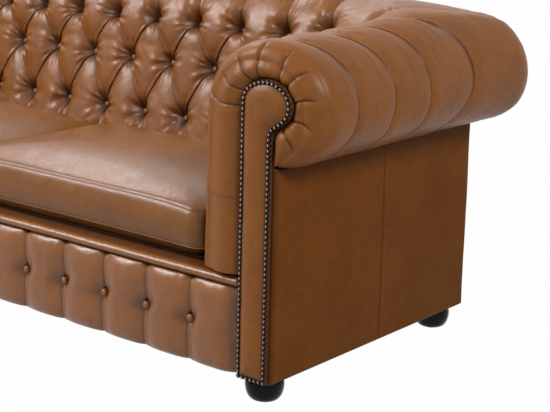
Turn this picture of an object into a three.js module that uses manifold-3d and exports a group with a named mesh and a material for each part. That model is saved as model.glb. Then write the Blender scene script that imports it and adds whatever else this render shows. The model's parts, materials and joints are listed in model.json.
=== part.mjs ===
// Chesterfield sofa with two loose seat cushions.
// Millimetres, +Z up, the front faces -Y. The origin is on the floor under the middle of the sofa.
import * as THREE from "three";
import { mergeVertices } from "three/addons/utils/BufferGeometryUtils.js";
import Module from "manifold-3d";

const wasm = await Module();
wasm.setup();

// Driving dimensions
const bodyWidth = 1970; // between the outer faces of the two arms
const bodyDepth = 735; // front plane to the outer face of the back
const bodyBottom = 56; // lower edge of the leather
const rollTop = 757; // height of the arms
const backRise = 18; // how much higher the back is
const rollMiddle = 620; // height where the roll stands out most
const rollUnder = 507; // height where the roll meets the outside panels
const rollOut = 113; // how far the roll stands outside the panels
const crestIn = 45; // crest of the arms, inside the outer face
const armThick = 196; // inner face of an arm to its outer face
const backThick = 206; // the same for the back, at the seat
const backLean = 72; // how much thinner the back is at its shoulder
const backCrestIn = 20; // crest of the back, inside the outer face
const shoulder = 600; // height where the inner faces start to roll over
const cornerRound = 300; // plan radius of the upholstery in the inner corners, at the top row
const cornerRoundLow = 30; // the same at the seat
const deckTop = 272; // top of the seat platform
const gap = 0.3; // clearance between pieces that touch
const overrun = 20; // how far a cutting solid passes the surface it cuts

// Deep buttoning
const armPitch = 130; // between the buttons of one row, on the arms
const backPitch = 144; // the same on the back
const firstTuft = 97; // front plane to the first column of arm buttons
const armColumns = 4; // button spacings from there to the corner
const backColumns = 11; // button spacings between the two corners
const rowLow = 428; // height of the lowest row
const rowMiddle = 563; // height of the middle row
const rowHigh = 674; // height of the top row
const foldDepth = 20; // how deep a fold lies under the pillows
const tuftDepth = 30; // how deep a button lies under the pillows
const cornerDepth = 16; // the same for the button in the corner
const cornerLiftShare = 0.65; // how far that button rises from the top row towards the crest
const pleatBend = 45; // how far the pleats of the arms bow backwards on the outside of the roll
const tuftReach = 26; // how far round a button the leather is drawn down
const pillowPower = 0.8; // below 1 is a full pillow with narrow folds
const buttonRadius = 9;
const buttonRise = 5;
const buttonFacets = 7;
const stepsPerTuft = 6; // facets across one button spacing
const cornerSteps = 10; // the same across the spacing that ends on the corner's mitre

// Front edge of the arms
const edgeRadius = 34; // how far it rounds in across the arm
const edgeDepth = 44; // how far it rounds back along the arm
const foldStart = 40; // front plane to where the folds begin
const firstRing = 75; // front plane to the first ring of facets behind the rounding

// Frame
const boardThick = 22;
const railTop = 205; // seat rails
const frameDeep = 80; // zone behind the outside panels that holds the frame
const panelThick = 12; // outside panels: leather on padding and card
const frontPad = 16; // leather and padding in front of the frame
const postSize = 60;
const underPad = 49; // padding between the scroll of the frame and the roll's underside
const crestPad = 57; // the same over the scroll
const rollPad = 58; // the same outside it
// Points of the scroll, as shares of frameDeep or its own reach sideways and of its height upwards
const scrollShares = {
  side: 0.44,
  slopeIn: 0.8,
  slopeHigh: 0.78,
  topIn: 0.4,
  topOut: 0.5,
  noseHigh: 0.61,
  middle: 0.44,
};
const topRailShares = [0.24, 0.58]; // heights of the top rails' faces, of the scroll's height
const scrollPast = 20; // how far the hollow round the frame passes the outer faces at the corners
const railIn = 8; // inset of the top rails from the scroll's stem
const railOut = 13; // inset of the top rails from the scroll's nose
const railSoft = 17; // bevel of the top rails
const centreHighShare = 0.6; // height of the centre rail, of the room below the seat rails' top
const tackRailHigh = 38;
const tackRailThick = 22;
const blockLeg = 80;
const blockHigh = 70;
const coverThick = 3;

// Arm front
const headCentre = 29.5; // centre of its round head, inside the outer face
const headRadius = 61.3;
const nailInset = 5; // nail line inside the facing's edge
const nailPitch = 11;
const nailWidth = 9.4;
const nailBase = 0.8;
const nailRise = 3.4;
const facingProud = 8; // how far the facing stands before the front plane
const facingSoft = 2.5; // rounding of its edge
const headSteps = 30; // facets round the head of the facing

// Front of the seat
const lipLow = 244; // lower seam of the lip
const lipProud = 5;
const lipNoseShare = 0.8; // depth of the lip's round nose, of half its height
const noseSteps = 6;
const borderPitch = 127; // between the buttons of the front border
const borderButtons = 13;
const borderFold = 6;
const borderProud = 3;
const borderButtonRadius = 8;
const borderButtonHigh = 150;
const borderSeamShare = 0.4; // depth of a fold at the seams, of its depth half way up
const borderLevels = 6; // facets up the border
const borderSteps = 4; // facets across one button spacing

// Seat cushions
const cushionFront = 16; // front plane to the front seams
const cushionBack = 12; // clearance to the back pad
const cushionSide = 5; // clearance to the arms
const cushionBetween = 3;
const cushionSeamLow = 297;
const cushionSeamHigh = 387;
const cushionCrown = 36; // rise of the middle above the upper seam
const cushionCorner = 42; // plan radius of the corners
const cushionBulge = 12; // how far the front of the boxing swells past the seams
const cushionDrawIn = 4; // how far the sides pull in between the corners
const cushionDroop = 16; // how much lower the upper seam lies at the corners
const soleShares = [0.4, 0.9, 0.97]; // plan of the rings of the underside
const soleHighShare = 0.4; // height of the last of them, of the room under the lower seam
const crownShares = [0.97, 0.9, 0.78, 0.6, 0.38, 0.16]; // plan of the rings of the crown
const crownFallShare = 0.3; // how much lower the crown is half way along each edge
const roundSteps = 5; // facets round one corner
const sideSteps = 6; // facets along one side

// Springs
const springCount = 8;
const springRadius = 1.9;
const springWidth = 46;
const springWaves = 8;

// Feet
const footRadius = 41.5;
const footInset = 55; // centre of a foot, inside the outer face
const footFront = 48; // front plane to the centre of the front feet
const footBack = 47; // the same to the outer face of the back
const footWidestShare = 0.68; // height of the widest part, of the foot's height
const footSoleShare = 0.55; // radius of the sole
const footTopShares = [0.97, 0.88]; // radii above the widest part
const footTopHighShare = 0.6; // height of the first of them, of what is left to the top
const bunSteps = 5;
const footFacets = 18;
const glideThick = 3;
const glideRadius = 16;
const studRadius = 4;
const studClear = 0.4;
const studLow = 24;
const studHigh = 112;
const smallFacets = 12; // round the glides and the stud holes
const studFacets = 8;

// Worked out from the sizes above
const half = bodyWidth / 2;
const nailProud = facingProud + gap + nailBase + nailRise;
const front = (nailProud - bodyDepth - rollOut) / 2; // y of the front plane
const back = front + bodyDepth; // y of the outer face of the back
const stemLeft = headCentre + headRadius; // inner edge of the facing, inside the outer face
const stemRight = panelThick + gap; // its outer edge
const padIn = panelThick + gap; // hidden edge of the pads
const woodIn = padIn + gap; // outer face of the frame
const footHigh = bodyBottom - gap;
const coverLow = bodyBottom;
const frameBottom = coverLow + coverThick + gap;
const boardFront = front + frontPad + gap;
const boardBack = boardFront + boardThick;
const railIns = woodIn + boardThick; // inner face of the side and back rails
const postIns = woodIn + postSize; // inner face of the posts
const deckIns = frameDeep + gap; // edge of the seat platform
const scrollUnder = rollUnder + underPad;
const scrollTop = rollTop - crestPad;
const scrollOut = rollOut - rollPad;
const topRailLow = scrollUnder + topRailShares[0] * (scrollTop - scrollUnder);
const topRailHigh = scrollUnder + topRailShares[1] * (scrollTop - scrollUnder);

// Materials
const leather = (colour) =>
  new THREE.MeshStandardMaterial({ color: colour, roughness: 0.42, metalness: 0 });
const tanLeather = leather("#85593a");
const darkLeather = leather("#6f4426");
const cushionLeather = leather("#94694b");
const beech = new THREE.MeshStandardMaterial({ color: "#b98f5e", roughness: 0.7, metalness: 0 });
const padding = new THREE.MeshStandardMaterial({ color: "#8f8a7c", roughness: 0.95, metalness: 0 });
const cambric = new THREE.MeshStandardMaterial({ color: "#1d1c1c", roughness: 0.95, metalness: 0 });
const blackLacquer = new THREE.MeshStandardMaterial({ color: "#0c0c0c", roughness: 0.15, metalness: 0 });
const antiqueBronze = new THREE.MeshStandardMaterial({ color: "#4a3a2c", roughness: 0.3, metalness: 1 });
const steel = new THREE.MeshStandardMaterial({ color: "#8d8f92", roughness: 0.4, metalness: 1 });
const blackPlastic = new THREE.MeshStandardMaterial({ color: "#161616", roughness: 0.6, metalness: 0 });

// Small helpers
const mix = (a, b, t) => a + (b - a) * t;
const clamp = (x, low, high) => Math.min(high, Math.max(low, x));
const smooth = (x) => {
  const t = clamp(x, 0, 1);
  return t * t * (3 - 2 * t);
};
const range = (count) => Array.from({ length: count }, (_, i) => i);

const sofa = new THREE.Group();
sofa.name = "chesterfield_sofa";

function add(name, geometry, material) {
  const mesh = new THREE.Mesh(geometry, material);
  mesh.name = name;
  sofa.add(mesh);
}

function geometryOf(points, triangles) {
  const geometry = new THREE.BufferGeometry();
  geometry.setAttribute("position", new THREE.Float32BufferAttribute(points.flat(), 3));
  geometry.setIndex(triangles);
  geometry.computeVertexNormals();
  return geometry;
}

// A closed mesh as a solid that can be joined and cut, and back again.
function solidOf(geometry) {
  const bare = new THREE.BufferGeometry();
  bare.setAttribute("position", geometry.getAttribute("position"));
  if (geometry.index) bare.setIndex(geometry.index);
  const merged = mergeVertices(bare, 1e-3);
  return new wasm.Manifold(
    new wasm.Mesh({
      numProp: 3,
      vertProperties: new Float32Array(merged.attributes.position.array),
      triVerts: new Uint32Array(merged.index.array),
    }),
  );
}

function geometryFrom(solid) {
  const mesh = solid.getMesh();
  const geometry = new THREE.BufferGeometry();
  geometry.setAttribute("position", new THREE.BufferAttribute(mesh.vertProperties, 3));
  geometry.setIndex(new THREE.BufferAttribute(mesh.triVerts, 1));
  geometry.computeVertexNormals();
  return geometry;
}

// The same piece for the other side of the sofa.
function mirrored(geometry) {
  const copy = geometry.clone().applyMatrix4(new THREE.Matrix4().makeScale(-1, 1, 1));
  const index = copy.index.array;
  for (let i = 0; i < index.length; i += 3) {
    [index[i + 1], index[i + 2]] = [index[i + 2], index[i + 1]];
  }
  copy.computeVertexNormals();
  return copy;
}

function addPair(name, geometry, material) {
  const indexed = geometry.index ? geometry : mergeVertices(geometry);
  add(`${name}_right`, indexed, material);
  add(`${name}_left`, mirrored(indexed), material);
}

function box(x0, x1, y0, y1, z0, z1) {
  const geometry = new THREE.BoxGeometry(x1 - x0, y1 - y0, z1 - z0);
  return geometry.translate((x0 + x1) / 2, (y0 + y1) / 2, (z0 + z1) / 2);
}

// An outline in the XY plane raised from z0 to z1.
function raised(outline, z0, z1) {
  const shape = new THREE.Shape(outline.map(([x, y]) => new THREE.Vector2(x, y)));
  const geometry = new THREE.ExtrudeGeometry(shape, { depth: z1 - z0, bevelEnabled: false });
  return geometry.translate(0, 0, z0);
}

// An outline in the XZ plane drawn out from y0 to y1.
function drawnBack(outline, y0, y1) {
  const geometry = raised(outline, 0, y1 - y0);
  return geometry.rotateX(Math.PI / 2).translate(0, y1, 0);
}

// An outline in the YZ plane drawn out from x0 to x1.
function drawnAcross(outline, x0, x1) {
  const geometry = raised(outline, 0, x1 - x0);
  return geometry.rotateY(Math.PI / 2).rotateX(Math.PI / 2).translate(x0, 0, 0);
}

// A profile of radius and height turned about Z.
function turned(profile, facets) {
  const points = profile.map(([r, z]) => new THREE.Vector2(r, z));
  return new THREE.LatheGeometry(points, facets).rotateX(Math.PI / 2);
}

// A closed skin through rings of equal count. Flat ends are filled from their plan, given by flatten.
function loft(rings, flatten) {
  const count = rings[0].length;
  const points = rings.flat();
  const triangles = [];
  for (let i = 0; i + 1 < rings.length; i += 1) {
    for (let j = 0; j < count; j += 1) {
      const a = i * count + j;
      const b = i * count + ((j + 1) % count);
      triangles.push(a, b, b + count, a, b + count, a + count);
    }
  }
  const ends = [
    [0, false],
    [rings.length - 1, true],
  ];
  for (const [ring, last] of ends) {
    const plan = rings[ring].map(flatten);
    const faces = THREE.ShapeUtils.triangulateShape(plan, []);
    const turned = THREE.ShapeUtils.area(plan) > 0 === last;
    for (const [a, b, c] of faces) {
      const face = turned ? [a, b, c] : [a, c, b];
      triangles.push(...face.map((k) => ring * count + k));
    }
  }
  return outward(points, triangles);
}

// Faces turned to point out, judged by the sign of the enclosed volume.
function outward(points, triangles) {
  let volume = 0;
  const corners = points.map((p) => new THREE.Vector3(...p));
  for (let i = 0; i < triangles.length; i += 3) {
    const [a, b, c] = [0, 1, 2].map((k) => corners[triangles[i + k]]);
    volume += a.dot(new THREE.Vector3().crossVectors(b, c));
  }
  if (volume < 0) {
    for (let i = 0; i < triangles.length; i += 3) {
      [triangles[i + 1], triangles[i + 2]] = [triangles[i + 2], triangles[i + 1]];
    }
  }
  return geometryOf(points, triangles);
}

// Section of the arms and the back.
// row runs up the inside, over the roll and down the outside: 0, 1 and 2 are the rows of buttons,
// 3 the crest, 4 where the roll stands out most, 5 where it meets the outside panel.
// lean is 0 for an arm and 1 for the back. out is measured from the outer face, outwards.
function section(row, lean) {
  const seat = -mix(armThick, backThick, lean);
  const neck = -mix(armThick, backThick - backLean, lean);
  const crest = -mix(crestIn, backCrestIn, lean);
  const top = mix(rollTop, rollTop + backRise, lean);
  const innerArc = top - shoulder;
  const topRowAngle = Math.asin((rowHigh - shoulder) / innerArc);
  if (row > 4) {
    const angle = ((row - 4) * Math.PI) / 2;
    const under = rollMiddle - rollUnder;
    return { out: rollOut * Math.cos(angle), z: rollMiddle - under * Math.sin(angle) };
  }
  if (row > 3) {
    const angle = ((4 - row) * Math.PI) / 2;
    const reach = rollOut - crest;
    return { out: crest + reach * Math.cos(angle), z: rollMiddle + (top - rollMiddle) * Math.sin(angle) };
  }
  if (row > 2) {
    const angle = mix(topRowAngle, Math.PI / 2, row - 2);
    return { out: crest + (neck - crest) * Math.cos(angle), z: shoulder + innerArc * Math.sin(angle) };
  }
  const below = mix(deckTop + gap, rowLow, row + 1);
  const between = row > 1 ? mix(rowMiddle, rowHigh, row - 1) : mix(rowLow, rowMiddle, row);
  const z = row < 0 ? below : between;
  if (z < shoulder) {
    return { out: mix(seat, neck, (z - deckTop) / (shoulder - deckTop)), z };
  }
  const angle = Math.asin((z - shoulder) / innerArc);
  return { out: crest + (neck - crest) * Math.cos(angle), z };
}

// Where a section point lies round the corner of the sofa.
// run is 0 at the last straight column of buttons and 1 on the corner's mitre. The first value is
// measured outwards from the arm's outer face, the second backwards from the outer face of the back.
function roundCorner(out, run, straight) {
  if (out <= 0) return [out, mix(-straight, out, run)];
  const way = run * (straight + (out * Math.PI) / 4);
  if (way <= straight) return [out, way - straight];
  const angle = (way - straight) / out;
  return [out * Math.cos(angle), out * Math.sin(angle)];
}

// How far the inner corner's rounding draws a point in, across its own side and along it.
// left is its distance from the mitre along its side.
function cornerFill(left, row) {
  const fade = smooth((3.5 - row) * 2);
  const radius = mix(cornerRoundLow, cornerRound, smooth((row + 0.2) / 2.5)) * fade;
  if (left >= radius) return [0, 0];
  const angle = ((1 - left / radius) * Math.PI) / 4;
  return [radius * (1 - Math.cos(angle)), radius * ((4 * angle) / Math.PI - Math.sin(angle))];
}

const armLast = armColumns - 1;
const backLast = backColumns / 2 - 1;
const armStraight = bodyDepth - firstTuft - armLast * armPitch;
const backStraight = half - backLast * backPitch;

// A place along one side, as [across, along] from the corner of the outer faces, both outwards.
function sidePlace(column, last, pitch, straight, out, row) {
  const past = column - last;
  const [across, along] =
    past > 0 ? roundCorner(out, past, straight) : [out, past * pitch - straight];
  const bend = out > 0 ? (out * Math.PI) / 4 : out;
  const left = past > 0 ? (1 - past) * (straight + bend) : straight + bend - past * pitch;
  const [acrossFill, alongFill] = cornerFill(left, row);
  return [across - acrossFill, along - alongFill];
}

// column counts button spacings: on the arm from its first column back, on the back from the middle.
function armPlace(column, out, row) {
  const [across, along] = sidePlace(column, armLast, armPitch, armStraight, out, row);
  return [half + across, back + along];
}

function backPlace(column, out, row) {
  const [across, along] = sidePlace(Math.abs(column), backLast, backPitch, backStraight, out, row);
  return [column === 0 ? 0 : Math.sign(column) * (half + along), back + across];
}

const armSide = {
  place: armPlace,
  last: armLast,
  pitch: armPitch,
  lean: (column) => smooth((column - 1) / armLast),
};
const backSide = { place: backPlace, last: backLast, pitch: backPitch, lean: () => 1 };

// 0 on the straight, rising to 1 on the mitre.
const nearCorner = (side, column) => clamp((Math.abs(column) - side.last + 1.5) / 2.5, 0, 1) ** 3;

// 1 on the top row of buttons, 0 below the middle row and over the crest.
const topRowBump = (row) => smooth((row - 0.8) / 1.2) * smooth((3.2 - row) / 1.2);

// How deep the leather lies under the top of the pillows. a and b count folds, which cross at buttons.
function tuft(column, row, pitch, corner) {
  const fold = (x) => Math.abs(Math.sin(Math.PI * x)) ** pillowPower;
  if (row < 0) return foldDepth * (1 - fold(column) ** 2);
  const height = row < 2 ? row / 2 : 1;
  const a = column + height;
  const b = column - height;
  const pillow = fold(a) * fold(b);
  const fade = row < 2 ? 1 : mix(1, 0, smooth((row - 2) / 3));
  const rowGap = rowMiddle - rowLow;
  const nearest = [0, 1, 2].map((level) => {
    const beside = column - level / 2;
    return Math.hypot((beside - Math.round(beside)) * pitch, (row - level) * rowGap);
  });
  const drawn = Math.exp(-((Math.min(...nearest) / tuftReach) ** 2));
  const depth = foldDepth * (1 - pillow) + (tuftDepth - foldDepth) * drawn;
  return fade * depth * mix(1, cornerDepth / tuftDepth, corner * topRowBump(row));
}

// A point of the upholstery, sunk by depth square to the section.
function skinPoint(side, column, row, depth) {
  const step = 0.02;
  const lean = side.lean(column);
  const raised = row + cornerLiftShare * nearCorner(side, column) * topRowBump(row);
  const here = section(raised, lean);
  const before = section(clamp(raised - step, -1, 5), lean);
  const after = section(clamp(raised + step, -1, 5), lean);
  const long = Math.hypot(after.out - before.out, after.z - before.z);
  const normal = [(before.z - after.z) / long, (after.out - before.out) / long];
  const out = here.out - normal[0] * depth;
  const z = row > -1 ? here.z - normal[1] * depth : here.z;
  return [...side.place(column, out, raised), z];
}

// Section steps, finer where the buttons are.
const rowSteps = [1, 3, 3, 2, 4, 3];
const rows = [-1];
rowSteps.forEach((count, k) => range(count).forEach((i) => rows.push(k - 1 + (i + 1) / count)));
// The hidden side of the pads: behind the outside panel's edge, then down to the seat.
const hidden = [
  [-padIn, rollUnder + gap],
  [-padIn, deckTop + gap],
];

// A point of that hidden side. It keeps clear of the corner's rounding.
const outerRow = 5;
const hiddenPoints = (side, column) => hidden.map(([out, z]) => [...side.place(column, out, outerRow), z]);

const flattenArm = ([x, , z]) => new THREE.Vector2(x, z);

// The arm's front edge: how far each ring lies behind the front plane and how far it draws in.
const frontRings = [0, 18, 42, 66, 90].map((degrees) => {
  const angle = (degrees * Math.PI) / 180;
  return { behind: edgeDepth * (1 - Math.sin(angle)), inset: edgeRadius * (1 - Math.cos(angle)) };
});

// Columns where the facets turn: evenly over the straight spacings, finer over the corner's.
function columnSteps(from, to) {
  const straight = (to - from) * stepsPerTuft;
  const corner = range(cornerSteps).map((i) => to + (i + 1) / cornerSteps);
  return [...range(straight + 1).map((i) => from + i / stepsPerTuft), ...corner];
}

// On the arms the pleats bow backwards on the outside of the roll.
function bowed(column, row) {
  const bow = (pleatBend / armPitch) * Math.sin((Math.PI * clamp(row - 3, 0, 2)) / 2);
  return column - bow * smooth(2 * column + 1) * smooth(armColumns - column);
}

function armSolid() {
  const fadeIn = (column) => smooth((column * armPitch + firstTuft - foldStart) / (firstTuft - foldStart));
  const ring = (column) => {
    const corner = nearCorner(armSide, column);
    const skin = rows.map((row) => {
      const depth = tuft(bowed(column, row), row, armPitch, corner) * fadeIn(column);
      return skinPoint(armSide, column, row, depth);
    });
    return [...skin, ...hiddenPoints(armSide, column)];
  };
  const rings = [];
  for (const { behind, inset } of [...frontRings].reverse()) {
    const column = (behind - firstTuft) / armPitch;
    const skin = rows.map((row) => skinPoint(armSide, column, row, inset));
    rings.push([...skin, ...hiddenPoints(armSide, column)]);
  }
  rings.push(ring((firstRing - firstTuft) / armPitch));
  columnSteps(0, armLast).forEach((column) => rings.push(ring(column)));
  rings.at(-1).forEach((point) => (point[1] -= gap));
  return loft(rings, flattenArm);
}

function backSolid() {
  const rightHalf = columnSteps(0, backLast).slice(1);
  const leftHalf = rightHalf.map((column) => -column).reverse();
  const rings = [...leftHalf, 0, ...rightHalf].map((column) => {
    const corner = nearCorner(backSide, column);
    const phase = column + (backColumns % 2) / 2;
    const skin = rows.map((row) => skinPoint(backSide, column, row, tuft(phase, row, backPitch, corner)));
    return [...skin, ...hiddenPoints(backSide, column)];
  });
  rings[0].forEach((point) => (point[0] += gap));
  rings.at(-1).forEach((point) => (point[0] -= gap));
  return loft(rings, ([, y, z]) => new THREE.Vector2(y, z));
}

// Leather-covered button, its dome towards +Z.
function buttonGeometry(radius, rise) {
  const profile = [
    [0, -rise],
    [radius, -rise],
    [radius, 0],
    [0, rise],
  ];
  return turned(profile, buttonFacets);
}

function buttonAt(point, normal, radius, rise) {
  const turn = new THREE.Quaternion().setFromUnitVectors(new THREE.Vector3(0, 0, 1), normal);
  return buttonGeometry(radius, rise)
    .applyQuaternion(turn)
    .translate(...point);
}

// Every button of a pad, on its rows 0, 1 and 2.
function padButtons(side, columns) {
  return columns.map(([column, row]) => padButton(side, column, row, buttonRadius, buttonRise));
}

function padButton(side, column, row, radius, rise) {
  const corner = nearCorner(side, column) * topRowBump(row);
  const depth = mix(tuftDepth, cornerDepth, corner) - rise / 2;
  const point = skinPoint(side, column, row, depth);
  const above = skinPoint(side, column, row, 0);
  const normal = new THREE.Vector3(...above).sub(new THREE.Vector3(...point)).normalize();
  return buttonAt(point, normal, radius, rise);
}

function joined(first, others) {
  return others.reduce((sum, one) => sum.add(solidOf(one)), first);
}

// Scroll outline of the frame inside an arm or the back, as out and height, grown by clear.
function scroll(clear, bottom) {
  const shares = scrollShares;
  const level = (share) => mix(scrollUnder, scrollTop, share);
  return [
    [-frameDeep - clear, bottom],
    [-frameDeep - clear, level(shares.side)],
    [-frameDeep * shares.slopeIn - clear, level(shares.slopeHigh)],
    [-frameDeep * shares.topIn, scrollTop + clear],
    [scrollOut * shares.topOut, scrollTop + clear],
    [scrollOut + clear, level(shares.noseHigh)],
    [scrollOut + clear, level(shares.middle)],
    [scrollOut * shares.topOut, scrollUnder - clear],
    [-woodIn + clear, scrollUnder - clear],
    [-woodIn + clear, bottom],
  ];
}

// The cut that makes room for it, open below and towards the outside panel.
function hollow() {
  const outline = scroll(gap, deckTop - overrun);
  const [edge] = outline.at(-1);
  outline.splice(-1, 1, [edge, rollUnder], [edge + overrun, rollUnder], [edge + overrun, deckTop - overrun]);
  return outline;
}

// Keyhole outline of the facing on the right arm, as x and z, drawn in by inset.
function keyhole(inset) {
  const left = half - stemLeft + inset;
  const right = half - stemRight - inset;
  const middle = half - headCentre;
  const radius = headRadius - inset;
  const neck = -Math.acos((right - middle) / radius);
  const head = range(headSteps + 1).map((i) => {
    const angle = mix(Math.PI, neck, i / headSteps);
    return [middle + radius * Math.cos(angle), rollMiddle + radius * Math.sin(angle)];
  });
  return [[left, bodyBottom + inset], ...head, [right, bodyBottom + inset]];
}

// Inside arms
const armButtons = [];
for (const row of [0, 1, 2]) {
  range(armColumns).forEach((i) => armButtons.push([row === 1 ? i + 0.5 : i, row]));
}
const armHollow = drawnBack(
  hollow().map(([out, z]) => [half + out, z]),
  front + frontPad,
  back + scrollPast,
);
const facingPocket = drawnBack(keyhole(-gap), front - overrun, front + frontPad + gap);
const cornerPocket = padButton(armSide, armColumns, 2, buttonRadius + gap, buttonRise + gap);
const armPad = joined(
  solidOf(armSolid())
    .subtract(solidOf(armHollow))
    .subtract(solidOf(facingPocket))
    .subtract(solidOf(cornerPocket)),
  padButtons(armSide, armButtons),
);
addPair("inside_arm", geometryFrom(armPad), tanLeather);

// The button on each mitre, where the leather of the arm and the back is tied down together
addPair("corner_button", padButton(armSide, armColumns, 2, buttonRadius, buttonRise), tanLeather);

// Inside back
const backButtons = [];
for (const row of [0, 1, 2]) {
  const count = row === 1 ? backColumns : backColumns - 1;
  range(count).forEach((i) => backButtons.push([i - (count - 1) / 2, row]));
}
const backHollow = drawnAcross(
  hollow().map(([out, z]) => [back + out, z]),
  -half - scrollPast,
  half + scrollPast,
);
const backPad = joined(
  solidOf(backSolid())
    .subtract(solidOf(backHollow))
    .subtract(solidOf(cornerPocket))
    .subtract(solidOf(mirrored(mergeVertices(cornerPocket)))),
  padButtons(backSide, backButtons),
);
add("inside_back", geometryFrom(backPad), tanLeather);

// Outside panels
const panelTop = rollUnder - gap;
addPair("outside_arm", box(half - panelThick, half, front, back, bodyBottom, panelTop), darkLeather);
add(
  "outside_back",
  box(-half + padIn, half - padIn, back - panelThick, back, bodyBottom, panelTop),
  darkLeather,
);

// Arm facings and their nails
const facingFront = front - facingProud;
const facingRings = [
  [front + frontPad, 0],
  [facingFront + facingSoft, 0],
  [facingFront, facingSoft],
].map(([y, inset]) => keyhole(inset).map(([x, z]) => [x, y, z]));
addPair("arm_facing", loft(facingRings, flattenArm), tanLeather);

// Places of the nails: evenly along the left side and the head, down the right side and along the foot.
function nailPlaces() {
  const line = keyhole(nailInset).map(([x, z]) => new THREE.Vector2(x, z));
  const [foot, neck, heel] = [line[0], line.at(-2), line.at(-1)];
  const runs = [line.slice(0, -1), [neck, heel], [heel, foot]];
  return runs.flatMap((run) => {
    const lengths = run.slice(1).map((point, i) => point.distanceTo(run[i]));
    const total = lengths.reduce((sum, length) => sum + length, 0);
    const count = Math.round(total / nailPitch);
    return range(count).map((i) => {
      let way = (i * total) / count;
      let k = 0;
      while (way > lengths[k]) {
        way -= lengths[k];
        k += 1;
      }
      return run[k].clone().lerp(run[k + 1], way / lengths[k]);
    });
  });
}

// One strip that carries the nails, each a low dome of four faces.
function nailStrip() {
  const places = nailPlaces();
  const count = places.length;
  const low = facingFront - gap;
  const points = [];
  range(count).forEach((i) => {
    const here = places[i];
    const next = places[(i + 1) % count];
    const middle = here.clone().lerp(next, 1 / 2);
    const side = next.clone().sub(here).normalize().rotateAround(new THREE.Vector2(), Math.PI / 2);
    for (const reach of [nailWidth / 2, -nailWidth / 2]) {
      const edge = middle.clone().addScaledVector(side, reach);
      points.push([edge.x, low, edge.y], [edge.x, low - nailBase, edge.y]);
    }
  });
  const triangles = [];
  range(count).forEach((i) => {
    const a = 4 * ((i + count - 1) % count);
    const b = 4 * i;
    const corners = [points[a + 1], points[b + 1], points[b + 3], points[a + 3]];
    const dome = [0, 2].map((k) => corners.reduce((sum, corner) => sum + corner[k], 0) / 4);
    const top = points.length;
    points.push([dome[0], low - nailBase - nailRise, dome[1]]);
    triangles.push(a + 1, b + 1, top, b + 1, b + 3, top, b + 3, a + 3, top, a + 3, a + 1, top);
    triangles.push(a, b, b + 1, a, b + 1, a + 1);
    triangles.push(b + 2, a + 2, a + 3, b + 2, a + 3, b + 3);
    triangles.push(b, a, a + 2, b, a + 2, b + 2);
  });
  return outward(points, triangles);
}
addPair("nail_trim", nailStrip(), antiqueBronze);

// Front border: vertical pleats between two seams, each held by a button
const borderHalf = half - stemLeft - gap;
const borderCount = borderButtons + 1;
const borderTop = lipLow - gap;
const borderRows = range(borderLevels + 1).map((i) => i / borderLevels);

function borderPlace(column) {
  const last = borderCount / 2 - 1;
  if (Math.abs(column) <= last) return column * borderPitch;
  const far = Math.abs(column) - last;
  return Math.sign(column) * mix(last * borderPitch, borderHalf, far);
}

function borderPoint(column, share) {
  const swell = Math.sin(Math.PI * share);
  const fold = 1 - Math.abs(Math.sin(Math.PI * column)) ** pillowPower;
  const depth = borderFold * fold * mix(borderSeamShare, 1, swell) - borderProud * swell;
  return [borderPlace(column), front + depth, mix(bodyBottom, borderTop, share)];
}

const borderRings = range(borderCount * borderSteps + 1).map((i) => {
  const column = i / borderSteps - borderCount / 2;
  const x = borderPlace(column);
  const face = borderRows.map((share) => borderPoint(column, share));
  return [...face, [x, front + frontPad, borderTop], [x, front + frontPad, bodyBottom]];
});
const borderSkin = loft(borderRings, ([, y, z]) => new THREE.Vector2(y, z));
const buttonShare = (borderButtonHigh - bodyBottom) / (borderTop - bodyBottom);
const borderStuds = range(borderButtons).map((i) => {
  const column = i - (borderButtons - 1) / 2;
  const [x, y, z] = borderPoint(column, buttonShare);
  return buttonAt([x, y, z], new THREE.Vector3(0, -1, 0), borderButtonRadius, buttonRise);
});
add("front_border", geometryFrom(joined(solidOf(borderSkin), borderStuds)), tanLeather);

// Front lip: the padded nosing of the seat platform, on the front rail
const lipMiddle = (lipLow + deckTop) / 2;
const lipRound = (deckTop - lipLow) / 2;
const noseDeep = lipRound * lipNoseShare;
const nose = range(noseSteps + 1).map((i) => {
  const angle = mix(-Math.PI / 2, Math.PI / 2, i / noseSteps);
  const reach = (noseDeep + lipProud) * Math.cos(angle);
  return [front + noseDeep - reach, lipMiddle + lipRound * Math.sin(angle)];
});
const lipOutline = [
  [boardFront, lipLow],
  ...nose,
  [boardBack, deckTop],
  [boardBack, railTop + gap],
  [boardFront, railTop + gap],
];
add("front_lip", drawnAcross(lipOutline, -borderHalf, borderHalf), tanLeather);

// Seat cushions
const cushionWide = half - armThick - cushionSide - cushionBetween / 2;
const cushionDeep = bodyDepth - backThick - cushionBack - cushionFront;
const cushionX = cushionBetween / 2 + cushionWide / 2;
const cushionY = front + cushionFront + cushionDeep / 2;

// Plan of a cushion round its own middle; swell moves its front forwards.
function cushionPlan(swell) {
  const reach = [cushionWide / 2 - cushionCorner, cushionDeep / 2 - cushionCorner];
  const centres = [
    [reach[0], reach[1]],
    [-reach[0], reach[1]],
    [-reach[0], -reach[1]],
    [reach[0], -reach[1]],
  ];
  const about = ([x, y], angle, radius) => [x + radius * Math.cos(angle), y + radius * Math.sin(angle)];
  const points = centres.flatMap((centre, k) => {
    const start = (k * Math.PI) / 2;
    const end = start + Math.PI / 2;
    const next = centres[(k + 1) % 4];
    const corner = range(roundSteps + 1).map((i) =>
      about(centre, mix(start, end, i / roundSteps), cushionCorner),
    );
    const side = range(sideSteps - 1).map((i) => {
      const along = (i + 1) / sideSteps;
      const middle = [mix(centre[0], next[0], along), mix(centre[1], next[1], along)];
      const pull = cushionDrawIn * (1 - (2 * along - 1) ** 2);
      return about(middle, end, cushionCorner - pull);
    });
    return [...corner, ...side];
  });
  return points.map(([x, y]) => [x, y - swell * smooth((-2 * y) / cushionDeep)]);
}

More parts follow.
